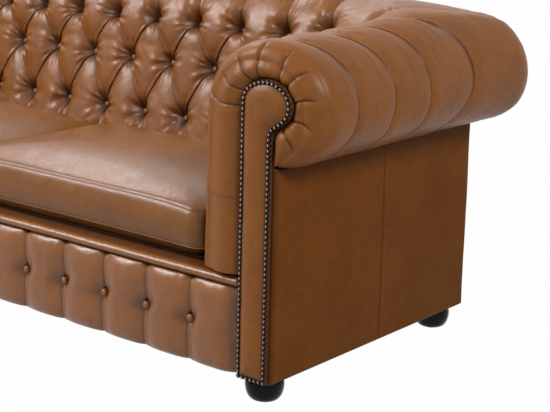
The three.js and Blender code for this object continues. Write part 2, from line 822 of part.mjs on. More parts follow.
// Rings from the underside over the boxing to the crown: share of the plan, height, swell.
function cushionGeometry() {
  const bottom = deckTop + gap;
  const middle = (cushionSeamLow + cushionSeamHigh) / 2;
  const levels = [
    [soleShares[0], bottom, 0],
    [soleShares[1], bottom, 0],
    [soleShares[2], mix(bottom, cushionSeamLow, soleHighShare), 0],
    [1, cushionSeamLow, 0],
    [1, middle, cushionBulge],
    [1, cushionSeamHigh, 0],
    ...crownShares.map((share) => [share, cushionSeamHigh, 0]),
  ];
  const rings = levels.map(([share, level, swell], k) => {
    const rise = k > 5 ? cushionCrown * Math.sqrt(1 - share ** 4) : 0;
    const droop = (cushionDroop * (level - bottom)) / (cushionSeamHigh - bottom);
    return cushionPlan(swell).map(([x, y]) => {
      const across = ((2 * x * share) / cushionWide) ** 2;
      const along = ((2 * y * share) / cushionDeep) ** 2;
      const crown = rise * (1 - crownFallShare * across) * (1 - crownFallShare * along);
      return [cushionX + x * share, cushionY + y * share, level + crown - droop * (across * along) ** 3];
    });
  });
  return loft(rings, ([x, y]) => new THREE.Vector2(x, y));
}
addPair("cushion", cushionGeometry(), cushionLeather);

// Seat platform on its springs
const springHigh = railTop - 3 * springRadius;
const deckLow = springHigh + springRadius + gap;
const seatFront = boardBack + gap;
add(
  "seat_deck",
  box(-half + deckIns, half - deckIns, seatFront, back - deckIns, deckLow, deckTop),
  padding,
);

const springEnds = [seatFront, back - railIns - gap];
function springGeometry(x) {
  const straight = 4 * springRadius;
  const points = [new THREE.Vector3(x, springEnds[0], springHigh)];
  const count = 4 * springWaves;
  range(count + 1).forEach((i) => {
    const y = mix(springEnds[0] + straight, springEnds[1] - straight, i / count);
    const wave = Math.sin((i * Math.PI) / 2);
    points.push(new THREE.Vector3(x + (springWidth / 2) * wave, y, springHigh));
  });
  points.push(new THREE.Vector3(x, springEnds[1], springHigh));
  const sides = 4; // of the wire's section
  const wire = new THREE.Shape(
    range(sides).map((i) => {
      const angle = ((i + 1 / 2) * 2 * Math.PI) / sides;
      return new THREE.Vector2(springRadius * Math.cos(angle), springRadius * Math.sin(angle));
    }),
  );
  return new THREE.ExtrudeGeometry(wire, {
    steps: points.length - 1,
    extrudePath: new THREE.CatmullRomCurve3(points),
    bevelEnabled: false,
  });
}
const springPitch = (2 * (half - armThick)) / springCount;
range(springCount).forEach((i) => {
  add(`spring_${i + 1}`, springGeometry((i - (springCount - 1) / 2) * springPitch), steel);
});

// Hardwood frame
const boardSide = half - frameDeep;
const railX = boardSide - gap;
add("front_rail", box(-railX, railX, boardFront, boardBack, frameBottom, railTop), beech);
const postX = half - postIns - gap;
add("back_rail", box(-postX, postX, back - railIns, back - woodIn, frameBottom, railTop), beech);
const railRear = back - railIns - gap;
const centreHigh = mix(frameBottom, railTop, centreHighShare);
add("centre_rail", box(-boardThick / 2, boardThick / 2, seatFront, railRear, frameBottom, centreHigh), beech);
const sideRear = back - postIns - gap;
addPair(
  "side_rail",
  box(half - railIns, half - woodIn, seatFront, sideRear, frameBottom, railTop),
  beech,
);

const boardOutline = scroll(0, frameBottom).map(([out, z]) => [half + out, z]);
addPair("arm_board", drawnBack(boardOutline, boardFront, boardBack), beech);

// A blind hole for a foot's stud.
const studHole = (x, y) => {
  const high = studHigh + gap;
  const low = frameBottom - overrun;
  return new THREE.CylinderGeometry(studRadius + studClear, studRadius + studClear, high - low, smallFacets)
    .rotateX(Math.PI / 2)
    .translate(x, y, (low + high) / 2);
};
const footX = half - footInset;
const frontFootY = front + footFront;
const backFootY = back - footBack;

const postBox = box(
  half - postIns,
  half - woodIn,
  back - postIns,
  back - woodIn,
  frameBottom,
  topRailLow - gap,
);
const post = solidOf(postBox).subtract(solidOf(studHole(footX, backFootY)));
addPair("back_post", geometryFrom(post), beech);

const blockX = half - railIns - gap;
const blockOutline = [
  [blockX, seatFront],
  [blockX, seatFront + blockLeg],
  [blockX - blockLeg, seatFront],
];
const block = solidOf(raised(blockOutline, frameBottom, frameBottom + blockHigh)).subtract(
  solidOf(studHole(footX, frontFootY)),
);
addPair("corner_block", geometryFrom(block), beech);

// The top rails are planed to the curve of the roll.
function topRail(face) {
  const low = topRailLow;
  const high = topRailHigh;
  const soft = railSoft;
  const nose = scrollOut - railOut;
  return [
    [face - frameDeep + railIn, low],
    [face - frameDeep + railIn, high - soft],
    [face - frameDeep + railIn + soft, high],
    [face + nose - soft, high],
    [face + nose, high - soft],
    [face + nose, low + soft],
    [face + nose - soft, low],
  ];
}
const backRailFront = back - frameDeep + railIn - gap;
addPair("arm_top_rail", drawnBack(topRail(half), seatFront, backRailFront), beech);
add("back_top_rail", drawnAcross(topRail(back), -half + woodIn, half - woodIn), beech);

const tackLow = deckTop + 2 * gap;
const tackHigh = tackLow + tackRailHigh;
addPair(
  "arm_tack_rail",
  box(boardSide, boardSide + tackRailThick, seatFront, back - frameDeep - gap, tackLow, tackHigh),
  beech,
);
const backTackY = back - frameDeep;
add("back_tack_rail", box(-postX, postX, backTackY, backTackY + tackRailThick, tackLow, tackHigh), beech);
add(
  "back_upright",
  box(
    -boardThick / 2,
    boardThick / 2,
    back - railIns,
    back - woodIn,
    railTop + gap,
    topRailLow - gap,
  ),
  beech,
);

// Dust cover, with a hole for each stud
let cover = solidOf(
  box(-half + padIn, half - padIn, boardFront, back - padIn, coverLow, coverLow + coverThick),
);
for (const side of [-1, 1]) {
  for (const y of [frontFootY, backFootY]) cover = cover.subtract(solidOf(studHole(side * footX, y)));
}
add("dust_cover", geometryFrom(cover), cambric);

// Feet: a turned bun on a glide, hung on a stud
function footGeometry() {
  const low = glideThick + gap;
  const widest = mix(low, footHigh, footWidestShare);
  const sole = footRadius * footSoleShare;
  const bun = range(bunSteps + 1).map((i) => {
    const angle = mix(-Math.PI / 2, 0, i / bunSteps);
    return [sole + (footRadius - sole) * Math.cos(angle), widest + (widest - low) * Math.sin(angle)];
  });
  return turned(
    [
      [0, low],
      ...bun,
      [footRadius * footTopShares[0], mix(widest, footHigh, footTopHighShare)],
      [footRadius * footTopShares[1], footHigh],
      [studRadius + studClear, footHigh],
      [studRadius + studClear, studLow - gap],
      [0, studLow - gap],
    ],
    footFacets,
  );
}

const footSpots = { front: frontFootY, rear: backFootY };
for (const [place, y] of Object.entries(footSpots)) {
  addPair(`foot_${place}`, footGeometry().translate(footX, y, 0), blackLacquer);
  const glide = turned(
    [
      [0, 0],
      [glideRadius, 0],
      [glideRadius, glideThick],
      [0, glideThick],
    ],
    smallFacets,
  );
  addPair(`glide_${place}`, glide.translate(footX, y, 0), blackPlastic);
  const stud = turned(
    [
      [0, studLow],
      [studRadius, studLow],
      [studRadius, studHigh],
      [0, studHigh],
    ],
    studFacets,
  );
  addPair(`foot_stud_${place}`, stud.translate(footX, y, 0), steel);
}

export default sofa;
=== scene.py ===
"""Dresses the chesterfield sofa: buttoned leather, nailed arm fronts, filled seat cushions."""

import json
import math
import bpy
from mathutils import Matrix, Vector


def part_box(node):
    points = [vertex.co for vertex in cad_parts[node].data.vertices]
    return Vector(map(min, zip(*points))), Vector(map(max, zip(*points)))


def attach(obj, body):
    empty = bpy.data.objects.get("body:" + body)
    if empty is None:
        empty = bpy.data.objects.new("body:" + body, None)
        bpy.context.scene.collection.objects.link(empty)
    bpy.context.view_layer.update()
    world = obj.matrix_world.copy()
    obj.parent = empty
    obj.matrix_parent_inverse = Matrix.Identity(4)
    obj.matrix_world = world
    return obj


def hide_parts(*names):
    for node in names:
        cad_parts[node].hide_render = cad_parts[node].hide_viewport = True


bl_info = {
    "name": "Chesterfield sofa",
    "version": (1, 0, 0),
    "blender": (4, 2, 0),
    "location": "View3D > Sidebar > Sofa",
    "description": "Dresses the frame of a two-cushion chesterfield sofa in buttoned leather",
    "category": "Add Mesh",
}

from collections import namedtuple

import bmesh
import bpy
import numpy as np
from mathutils import Matrix, Vector

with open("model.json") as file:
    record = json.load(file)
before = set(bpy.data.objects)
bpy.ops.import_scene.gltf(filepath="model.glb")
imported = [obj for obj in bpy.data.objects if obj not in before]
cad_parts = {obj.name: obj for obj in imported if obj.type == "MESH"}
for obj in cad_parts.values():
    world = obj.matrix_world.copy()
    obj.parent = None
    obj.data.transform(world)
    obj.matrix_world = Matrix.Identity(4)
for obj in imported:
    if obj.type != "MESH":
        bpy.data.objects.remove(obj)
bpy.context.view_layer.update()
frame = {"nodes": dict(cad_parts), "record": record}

# Body, read from the frame, metres
# +Z is up and the front faces -Y. "out" is measured outwards from the outer face of a side.
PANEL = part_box("outside_arm_right")
HALF = PANEL[1].x
FRONT = PANEL[0].y
BACK = PANEL[1].y
BODY_BOTTOM = PANEL[0].z
PANEL_TOP = PANEL[1].z
PANEL_THICK = PANEL[1].x - PANEL[0].x
DECK_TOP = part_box("seat_deck")[1].z
FORWARD = (0.0, -1.0, 0.0)
GAP = 0.0003
SEAT = DECK_TOP + GAP
UNDER = PANEL_TOP + GAP

# Section of the arms and the back
ARM_TOP = 0.757
BACK_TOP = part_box("inside_back")[1].z
ROLL_MIDDLE = 0.620
ROLL_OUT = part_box("inside_arm_right")[1].x - HALF
CREST_IN = 0.045
ARM_THICK = 0.196
BACK_THICK = 0.206
BACK_LEAN = 0.072
BACK_CREST_IN = 0.020
SHOULDER = 0.600
CORNER_ROUND = 0.300
CORNER_ROUND_LOW = 0.030
CORNER_LIFT = 0.65
CORNER_SWELL = 0.012
CORNER_DEPTH = 0.55

# Deep buttoning
ARM_PITCH = 0.130
BACK_PITCH = 0.144
FIRST_TUFT = 0.097
ARM_COLUMNS = 4
BACK_COLUMNS = 11
ROW_LOW = 0.428
ROW_MIDDLE = 0.563
ROW_HIGH = 0.674
PLEAT_BEND = 0.024
# Rows of a pad: 0 to 2 hold the buttons, and then come its crest, its outermost line and its end.
TOP_ROW = 2
CREST_ROW = 3
NOSE_ROW = 4
LAST_ROW = 5

# Arm fronts
# The rounded front edge of an arm, up the inside, over the crest and down the outside
EDGE_ROWS = (-1, 1, 2, 3, 4, 4.6, 5)
EDGE_RADII = (0.020, 0.024, 0.028, 0.036, 0.050, 0.036, 0.010)
EDGE_DEPTHS = (0.033, 0.034, 0.038, 0.046, 0.062, 0.050, 0.034)
EDGE_RINGS = 16
# The buttoned leather starts at this column, and its folds have faded at this distance from the front.
ARM_START = -0.5
FOLD_START = 0.040
# The keyhole of a facing: its head is an ellipse, and its neck turns into the stem.
HEAD_IN = 0.0238
HEAD_HIGH = 0.6345
HEAD_WIDE = 0.0619
HEAD_TALL = 0.049
HEAD_END = -40
HEAD_STEPS = 64
NECK_HIGH = 0.566
NECK_HANDLE_HIGH = 0.027
NECK_HANDLE_LOW = 0.022
NECK_STEPS = 24
STEM_LEFT = HEAD_IN + HEAD_WIDE
STEM_RIGHT = 0.0100
STEM_STEPS = 70
FOOT_STEPS = 12
# The gathered leather between the edge and the facing. Where it is FRONT_FULL wide it swells fully.
FRONT_PAD = 0.016
FRONT_RINGS = 26
FRONT_FULL = 0.07
FRONT_LUMPS = (0.0003, 0.013, 14)
FRONT_TUCK = 0.006
# The seam across it, beside the stem
FRONT_SEAM_HIGH = 0.431
FRONT_SEAM_OUT = -0.12
FRONT_SEAM_DEPTH = 0.0016
# Stretches of rows along it, with their steps
FRONT_ROWS = ((-1, 0, 80), (0, 2, 125), (2, 3, 74), (3, 4, 110), (4, 5, 60))
# Creases gathered round the head: angle at the outer edge, angle at the facing, outer radius
GATHERS = (
    (173, 177, 0.153),
    (152, 149, 0.126),
    (127, 122, 0.134),
    (97, 105, 0.141),
    (71, 63, 0.138),
    (44, 46, 0.126),
    (16, 17, 0.117),
    (-14, -10, 0.112),
    (-48, -38, 0.098),
)
# They radiate from a point this far in and end at this radius. Half widths: at the outer and the inner
# end of the soft hollow, and of the sharp one in it
GATHER_IN = 0.0295
GATHER_INNER = 0.062
GATHER_WIDE = (0.012, 0.019)
GATHER_NARROW = 0.006
GATHER_LINE = 0.0014
# Round the edge they come up within this many degrees.
GATHER_TURN = 32
# Fine pleats round the head, between two angles
FINE_FROM, FINE_TO = -60, 185
FINE_RADIUS = 0.075
FINE_REACH = 0.03
FINE_DEPTH = 0.0008

ARM_LAST = ARM_COLUMNS - 1
BACK_LAST = BACK_COLUMNS / 2 - 1


# Small helpers
def mix(a, b, t):
    return a + (b - a) * t


def smooth(x):
    t = np.clip(x, 0.0, 1.0)
    return t * t * (3 - 2 * t)


def bell(x, width):
    """1 at 0, falling off softly to both sides."""
    return np.exp(-((x / width) ** 2))


def crease(x, width):
    """1 at 0, falling off sharply to both sides."""
    return np.exp(-np.abs(x) / width)


def points_at(x, y, z):
    """Points from their coordinates. One of these may be a number for all of them."""
    return np.stack(np.broadcast_arrays(x, y, z), axis=-1)


def distances(line):
    """How far along a line of points each of them lies."""
    return np.concatenate([[0], np.cumsum(np.linalg.norm(np.diff(line, axis=0), axis=1))])


def points_along(line, at):
    """Points of a line at distances from its start."""
    way = distances(line)
    return np.stack([np.interp(at, way, values) for values in line.T], axis=-1)


# An arm or the back: how its button columns run along the sofa
Side = namedtuple("Side", "last pitch straight lean along place outward")
ARM = Side(
    last=ARM_LAST,
    pitch=ARM_PITCH,
    straight=BACK - FRONT - FIRST_TUFT - ARM_LAST * ARM_PITCH,
    lean=lambda column: smooth((column - 1) / ARM_LAST),
    along=lambda column: column,
    place=lambda column, across, along: (HALF + across, BACK + along),
    outward=-1,
)
BACKREST = Side(
    last=BACK_LAST,
    pitch=BACK_PITCH,
    straight=HALF - BACK_LAST * BACK_PITCH,
    lean=np.ones_like,
    along=np.abs,
    place=lambda column, across, along: (np.sign(column) * (HALF + along), BACK + across),
    outward=1,
)


def near_corner(side, column):
    """0 on the straight, rising to 1 on the mitre."""
    return np.clip((side.along(column) - side.last + 1.5) / 2.5, 0, 1) ** 3


def top_row_bump(row):
    """1 on the top row of buttons, 0 below the middle row and over the crest."""
    return smooth((row - 0.8) / 1.2) * smooth((3.2 - row) / 1.2)


def section(row, lean):
    """Out and height of the pads' section, up the inside (rows 0 to 2), over the crest (3) and
    down the outside (4 to 5)."""
    seat = -mix(ARM_THICK, BACK_THICK, lean)
    neck = -mix(ARM_THICK, BACK_THICK - BACK_LEAN, lean)
    crest = -mix(CREST_IN, BACK_CREST_IN, lean)
    top = mix(ARM_TOP, BACK_TOP, lean)
    inner_arc = top - SHOULDER
    level = np.interp(row, (-1, 0, 1, 2), (SEAT, ROW_LOW, ROW_MIDDLE, ROW_HIGH))
    top_row_angle = np.arcsin((ROW_HIGH - SHOULDER) / inner_arc)
    rising = np.arcsin(np.clip((level - SHOULDER) / inner_arc, 0, 1))
    to_crest = mix(top_row_angle, math.pi / 2, np.clip(row - TOP_ROW, 0, 1))
    inner = np.where(row > TOP_ROW, to_crest, rising)
    out = crest + (neck - crest) * np.cos(inner)
    z = SHOULDER + inner_arc * np.sin(inner)
    low = level < SHOULDER
    out = np.where(low, mix(seat, neck, (level - DECK_TOP) / (SHOULDER - DECK_TOP)), out)
    z = np.where(low, level, z)
    over = np.clip(NOSE_ROW - row, 0, 1) * math.pi / 2
    out = np.where(row > CREST_ROW, crest + (ROLL_OUT - crest) * np.cos(over), out)
    z = np.where(row > CREST_ROW, ROLL_MIDDLE + (top - ROLL_MIDDLE) * np.sin(over), z)
    below = np.clip(row - NOSE_ROW, 0, 1) * math.pi / 2
    out = np.where(row > NOSE_ROW, ROLL_OUT * np.cos(below), out)
    z = np.where(row > NOSE_ROW, ROLL_MIDDLE - (ROLL_MIDDLE - UNDER) * np.sin(below), z)
    return out, z


def side_place(side, column, out, row):
    """Where a section point lies along its side and round the corner, as x and y."""
    past = side.along(column) - side.last
    bend = np.where(out > 0, out * math.pi / 4, out)
    way = past * (side.straight + out * math.pi / 4)
    turned = (past > 0) & (out > 0) & (way > side.straight)
    angle = np.where(turned, (way - side.straight) / np.where(turned, out, 1), 0)
    across = np.where(turned, out * np.cos(angle), out)
    beyond = np.where(out > 0, way - side.straight, mix(-side.straight, out, past))
    along = np.where(past > 0, beyond, past * side.pitch - side.straight)
    along = np.where(turned, out * np.sin(angle), along)
    left = np.where(past > 0, (1 - past) * (side.straight + bend), side.straight + bend - past * side.pitch)
    radius = mix(CORNER_ROUND_LOW, CORNER_ROUND, smooth((row + 0.2) / 2.5)) * smooth((3.5 - row) * 2)
    fill = np.clip(1 - left / np.maximum(radius, 1e-6), 0, 1) * math.pi / 4
    across = across - radius * (1 - np.cos(fill))
    along = along - radius * (4 * fill / math.pi - np.sin(fill))
    return side.place(column, across, along)


def pad_point(side, column, row):
    """A point of the plain upholstery, without folds."""
    lean = side.lean(column)
    raised = row + CORNER_LIFT * near_corner(side, column) * top_row_bump(row)
    out, z = section(raised, lean)
    rear = smooth(side.along(column) - side.last) * smooth(row - CREST_ROW)
    rear = rear * smooth((LAST_ROW - row) / 0.6)
    out = out + CORNER_SWELL * rear
    return points_at(*side_place(side, column, out, raised), z)


def pad_normal(side, column, row):
    """Outward direction of the plain upholstery."""
    step = 0.01
    along = pad_point(side, column + step, row) - pad_point(side, column - step, row)
    low, high = np.maximum(row - step, -1), np.minimum(row + step, LAST_ROW)
    up = pad_point(side, column, high) - pad_point(side, column, low)
    normal = side.outward * np.cross(along, up)
    return normal / np.linalg.norm(normal, axis=-1, keepdims=True)


def edge_inset(side, column, row):
    """How far the rounded front edge of an arm falls back from the plain upholstery."""
    if side is BACKREST:
        return np.zeros_like(column)
    behind = column * ARM_PITCH + FIRST_TUFT
    near = np.clip(1 - behind / np.interp(row, EDGE_ROWS, EDGE_DEPTHS), 0, 1)
    return np.interp(row, EDGE_ROWS, EDGE_RADII) * (1 - np.sqrt(1 - near**2))


def drawn_in(row):
    """How deep a row's buttons are drawn in, as a share of the button depth."""
    return np.interp(row, (0, 1, 2), (1.0, 1.0, 1.25))


def value_noise(points, size, seed):
    """Smooth noise from -1 to 1 whose lumps are about that size."""
    cells = 32
    table = np.random.default_rng(seed).uniform(-1, 1, (cells, cells, cells))
    scaled = points / size
    base = np.floor(scaled).astype(int)
    part = scaled - base
    part = part * part * (3 - 2 * part)
    total = np.zeros(len(points))
    for corner in np.ndindex(2, 2, 2):
        index = (base + corner) % cells
        weight = np.prod(np.where(np.array(corner) == 1, part, 1 - part), axis=-1)
        total += weight * table[index[:, 0], index[:, 1], index[:, 2]]
    return total


# Layers of unevenness in stuffed leather: height, size of the lumps, seed
BROAD_LUMPS = (0.0014, 0.055, 3)
SMALL_LUMPS = (0.0005, 0.013, 5)


def uneven(points, *layers):
    """Layers of smooth noise added up, at an array of points of any shape."""
    flat = points.reshape(-1, 3)
    total = sum(height * value_noise(flat, size, seed) for height, size, seed in layers)
    return total.reshape(points.shape[:-1])


# Sizes and colours a user would change
def length(name, description, default):
    return bpy.props.FloatProperty(
        name=name, description=description, default=default, subtype="DISTANCE", unit="LENGTH", precision=4
    )


def colour(name, description, default):
    return bpy.props.StringProperty(name=name, description=description, default=default)


class SofaSizes(bpy.types.PropertyGroup):
    """Sizes of the dressing"""

    fold_depth: length("Fold depth", "How deep a fold lies under the pillows", 0.019)
    button_depth: length("Button depth", "How deep a button is drawn in", 0.042)
    button_reach: length("Button reach", "How far round a button the leather is drawn down", 0.023)
    lap: length("Lap", "How far a pillow laps over the fold under it", 0.005)
    wrinkle: length("Wrinkle depth", "Depth of the fine wrinkles round the buttons", 0.0052)
    gather_depth: length("Gather depth", "Depth of the creases gathered round the arm fronts", 0.0085)
    front_swell: length("Front swell", "How far the gathered leather of the arm fronts swells", 0.013)
    button_width: length("Button width", "Diameter of the leather-covered buttons", 0.018)
    nail_pitch: length("Nail pitch", "Distance between the middles of two nails", 0.011)
    nail_width: length("Nail width", "Diameter of a dome nail", 0.0107)
    nail_rise: length("Nail rise", "Height of a dome nail", 0.0050)
    stitch_pitch: length("Stitch pitch", "Distance from one stitch to the next", 0.007)
    tuft_steps: bpy.props.IntProperty(
        name="Steps between folds",
        description="Mesh steps from one fold to the next, an even number",
        default=36,
    )


class SofaColours(bpy.types.PropertyGroup):
    """Colours as sRGB hex values"""

    leather: colour("Leather", "Tan leather of the arms and facings", "#804d21")
    polished_leather: colour("Polished leather", "Leather of the inside back", "#7c4a1f")
    # Painted shade: the colour mixed into the leather in its folds, creases, seams and under other parts
    painted_fold_shade: colour("Leather in folds", "Leather where the finish gathers in the folds", "#4a2a17")
    # Darker than the arms' leather: painted shade for the outside panels, which the lamps light less.
    outside_leather: colour("Outside leather", "Leather of the outside panels", "#6f3f14")
    cushion_leather: colour("Cushion leather", "Leather of the seat cushions", "#774719")
    thread: colour("Thread", "Sewing thread", "#d2ab7c")
    # Nails: the rims are partly antiqued bronze and partly painted shade. Crowns: partly rubbed bronze and
    # partly a painted highlight where the domes face the front.
    nails: colour("Nails", "Antiqued bronze", "#2a211b")
    nail_crowns_and_highlights: colour("Nail crowns", "Bronze where the nails are rubbed", "#95877a")
    lacquer: colour("Lacquer", "Black lacquer of the feet", "#060505")
    wood: colour("Wood", "Beech of the frame", "#b98f5e")
    wood_grain: colour("Wood grain", "Darker grain of the beech", "#94683c")
    # Cotton lining, darkened as painted shade for the gap under the cushions.
    lining: colour("Lining", "Cotton over the seat platform", "#3b2b1e")
    cambric: colour("Cambric", "Black cloth of the dust cover", "#1d1c1c")
    steel: colour("Steel", "Spring wire and studs", "#8d8f92")
    plastic: colour("Glides", "Black plastic of the glides", "#161616")


def sizes():
    return bpy.context.scene.sofa_sizes


def colours():
    return bpy.context.scene.sofa_colours


# Materials
def linear(hex_colour):
    """Linear colour of an sRGB hex value."""
    channels = [int(hex_colour[k : k + 2], 16) / 255 for k in (1, 3, 5)]
    return (*[c / 12.92 if c <= 0.04045 else ((c + 0.055) / 1.055) ** 2.4 for c in channels], 1.0)


def shaded(colour, factor):
    """A linear colour made darker or lighter."""
    return (*[c * factor for c in colour[:3]], 1)


def add_node(tree, kind, inputs=None, **settings):
    """Adds a node with its settings. Each input is a value, a socket to link from, or a node whose first
    output in use is linked."""
    made = tree.nodes.new(kind)
    for name, value in settings.items():
        setattr(made, name, value)
    for key, value in (inputs or {}).items():
        if isinstance(value, bpy.types.Node):
            value = next(socket for socket in value.outputs if socket.enabled)
        if isinstance(value, bpy.types.NodeSocket):
            tree.links.new(value, made.inputs[key])
        else:
            made.inputs[key].default_value = value
    return made


def new_material(name):
    material = bpy.data.materials.new(name)
    material.use_nodes = True
    material.node_tree.nodes.clear()
    return material, material.node_tree


def finished(material, shader):
    add_node(material.node_tree, "ShaderNodeOutputMaterial", {"Surface": shader})
    return material


def leather_material(name, base_hex, painted_shade_hex, specular, coat, roughness):
    """Pigmented cowhide with a hand-rubbed antique finish, embossed with a fine grain: the colour clouds
    softly, and the broad sheen is greyish. Where the fold attribute is high, painted shade darkens the
    colour: in folds, creases, seams, grooves and under other parts."""
    material, tree = new_material(name)
    coords = add_node(tree, "ShaderNodeTexCoord").outputs["Object"]
    cloud_size, mottle_size, wrinkle_size, grain_size = 0.12, 0.02, 0.011, 0.0026
    cloud = add_node(tree, "ShaderNodeTexNoise", {"Vector": coords, "Scale": 1 / cloud_size, "Detail": 3})
    mottle = add_node(tree, "ShaderNodeTexNoise", {"Vector": coords, "Scale": 1 / mottle_size, "Detail": 5})
    both = add_node(tree, "ShaderNodeMath", {0: cloud, 1: mottle}, operation="ADD")
    spread = add_node(tree, "ShaderNodeMapRange", {"Value": both, "From Min": 0.8, "From Max": 1.2})
    base = linear(base_hex)
    clouded = add_node(
        tree, "ShaderNodeMix", {0: spread, 6: shaded(base, 0.90), 7: shaded(base, 1.08)}, data_type="RGBA"
    )
    # Painted shade: the fold attribute mixes the shade colour into the clouded colour.
    fold = add_node(tree, "ShaderNodeAttribute", attribute_name="fold")
    rubbed = add_node(
        tree, "ShaderNodeMix", {0: fold.outputs["Fac"], 6: clouded, 7: linear(painted_shade_hex)}, data_type="RGBA"
    )
    low, high = roughness - 0.06, roughness + 0.06
    rough = add_node(
        tree,
        "ShaderNodeMapRange",
        {"Value": mottle, "From Min": 0.3, "From Max": 0.7, "To Min": low, "To Max": high},
    )
    wrinkles = add_node(
        tree,
        "ShaderNodeTexNoise",
        {"Vector": coords, "Scale": 1 / wrinkle_size, "Detail": 4, "Distortion": 0.4},
    )
    soft = add_node(tree, "ShaderNodeBump", {"Height": wrinkles, "Strength": 0.5, "Distance": 0.0012})
    # The real pebbles are about 1 mm. They are drawn coarser, so that they still show in the render.
    grain = add_node(
        tree, "ShaderNodeTexVoronoi", {"Vector": coords, "Scale": 1 / grain_size}, feature="SMOOTH_F1"
    )
    bump = add_node(
        tree,
        "ShaderNodeBump",
        {"Height": grain, "Strength": 0.25, "Distance": 0.0006, "Normal": soft},
        invert=True,
    )
    shader = add_node(
        tree,
        "ShaderNodeBsdfPrincipled",
        {
            "Base Color": rubbed,
            "Roughness": rough,
            "IOR": 1.42,
            "Specular IOR Level": specular,
            "Coat Weight": coat,
            "Coat Roughness": 0.27,
            "Normal": bump,
        },
    )
    return finished(material, shader)


def plain_material(name, hex_colour, roughness, metallic=0.0, grit=0.0012, specular=0.5):
    """A finish of one colour, with the small unevenness of its surface."""
    material, tree = new_material(name)
    coords = add_node(tree, "ShaderNodeTexCoord").outputs["Object"]
    noise = add_node(tree, "ShaderNodeTexNoise", {"Vector": coords, "Scale": 1 / (12 * grit), "Detail": 5})
    base = linear(hex_colour)
    tint = add_node(
        tree, "ShaderNodeMix", {0: noise, 6: shaded(base, 0.8), 7: shaded(base, 1.15)}, data_type="RGBA"
    )
    fine = add_node(tree, "ShaderNodeTexNoise", {"Vector": coords, "Scale": 1 / grit, "Detail": 2})
    bump = add_node(tree, "ShaderNodeBump", {"Height": fine, "Strength": 0.15, "Distance": grit / 6})
    rough = add_node(
        tree, "ShaderNodeMapRange", {"Value": noise, "To Min": roughness * 0.85, "To Max": roughness * 1.15}
    )
    shader = add_node(
        tree,
        "ShaderNodeBsdfPrincipled",
        {
            "Base Color": tint,
            "Roughness": rough,
            "Metallic": metallic,
            "Specular IOR Level": specular,
            "Normal": bump,
        },
    )
    return finished(material, shader)


def nail_material(name, rim_and_shade_hex, crown_and_highlight_hex):
    """Antiqued dome nails: dark round the rim, and bright on the crown, which faces the front. The dark rim
    is partly the antique finish and partly painted shade, and the bright crown partly rubbed bronze and
    partly a painted highlight.
    """
    material, tree = new_material(name)
    coords = add_node(tree, "ShaderNodeTexCoord").outputs
    turned = add_node(tree, "ShaderNodeSeparateXYZ", {0: coords["Normal"]})
    # Painted highlight: the crown, where the dome faces the front, takes the bright colour.
    crown = add_node(
        tree, "ShaderNodeMapRange", {"Value": turned.outputs["Y"], "From Min": -0.86, "From Max": -0.98}
    )
    tint = add_node(
        tree, "ShaderNodeMix", {0: crown, 6: linear(rim_and_shade_hex), 7: linear(crown_and_highlight_hex)}, data_type="RGBA"
    )
    patina_size = 0.006
    patina = add_node(
        tree, "ShaderNodeTexNoise", {"Vector": coords["Object"], "Scale": 1 / patina_size, "Detail": 3}
    )
    rough = add_node(tree, "ShaderNodeMapRange", {"Value": patina, "To Min": 0.16, "To Max": 0.34})
    shader = add_node(
        tree, "ShaderNodeBsdfPrincipled", {"Base Color": tint, "Roughness": rough, "Metallic": 1.0}
    )
    return finished(material, shader)


def cloth_material(name, hex_colour, thread):
    """Plain-woven cloth: warp and weft cross at the thread's spacing, and nothing shines."""
    material, tree = new_material(name)
    coords = add_node(tree, "ShaderNodeTexCoord").outputs["Object"]
    waves = [
        add_node(
            tree,
            "ShaderNodeTexWave",
            {"Vector": coords, "Scale": 1 / (2 * math.pi * thread), "Distortion": 0.6},
            bands_direction=direction,
        )
        for direction in ("X", "Y")
    ]
    warp, weft = [wave.outputs[1] for wave in waves]
    weave = add_node(tree, "ShaderNodeMath", {0: warp, 1: weft}, operation="MULTIPLY")
    base = linear(hex_colour)
    tint = add_node(tree, "ShaderNodeMix", {0: weave, 6: shaded(base, 0.65), 7: base}, data_type="RGBA")
    bump = add_node(tree, "ShaderNodeBump", {"Height": weave, "Strength": 0.4, "Distance": thread / 3})
    shader = add_node(
        tree, "ShaderNodeBsdfPrincipled", {"Base Color": tint, "Roughness": 0.95, "Normal": bump}
    )
    return finished(material, shader)


def wood_material(name, base_hex, grain_hex):
    """Planed beech, bare: pale pinkish brown with fine darker flecks along the grain, matt."""
    material, tree = new_material(name)
    coords = add_node(tree, "ShaderNodeTexCoord").outputs["Object"]
    fleck = 0.004
    stretched = add_node(tree, "ShaderNodeMapping", {"Vector": coords, "Scale": (1, 0.35, 0.35)})
    grain = add_node(
        tree,
        "ShaderNodeTexNoise",
        {"Vector": stretched, "Scale": 1 / fleck, "Detail": 6, "Distortion": 1.2},
    )
    tint = add_node(
        tree, "ShaderNodeMix", {0: grain, 6: linear(grain_hex), 7: linear(base_hex)}, data_type="RGBA"
    )
    bump = add_node(tree, "ShaderNodeBump", {"Height": grain, "Strength": 0.2, "Distance": 0.0004})
    shader = add_node(
        tree, "ShaderNodeBsdfPrincipled", {"Base Color": tint, "Roughness": 0.6, "Normal": bump}
    )
    return finished(material, shader)


MATERIALS = {}


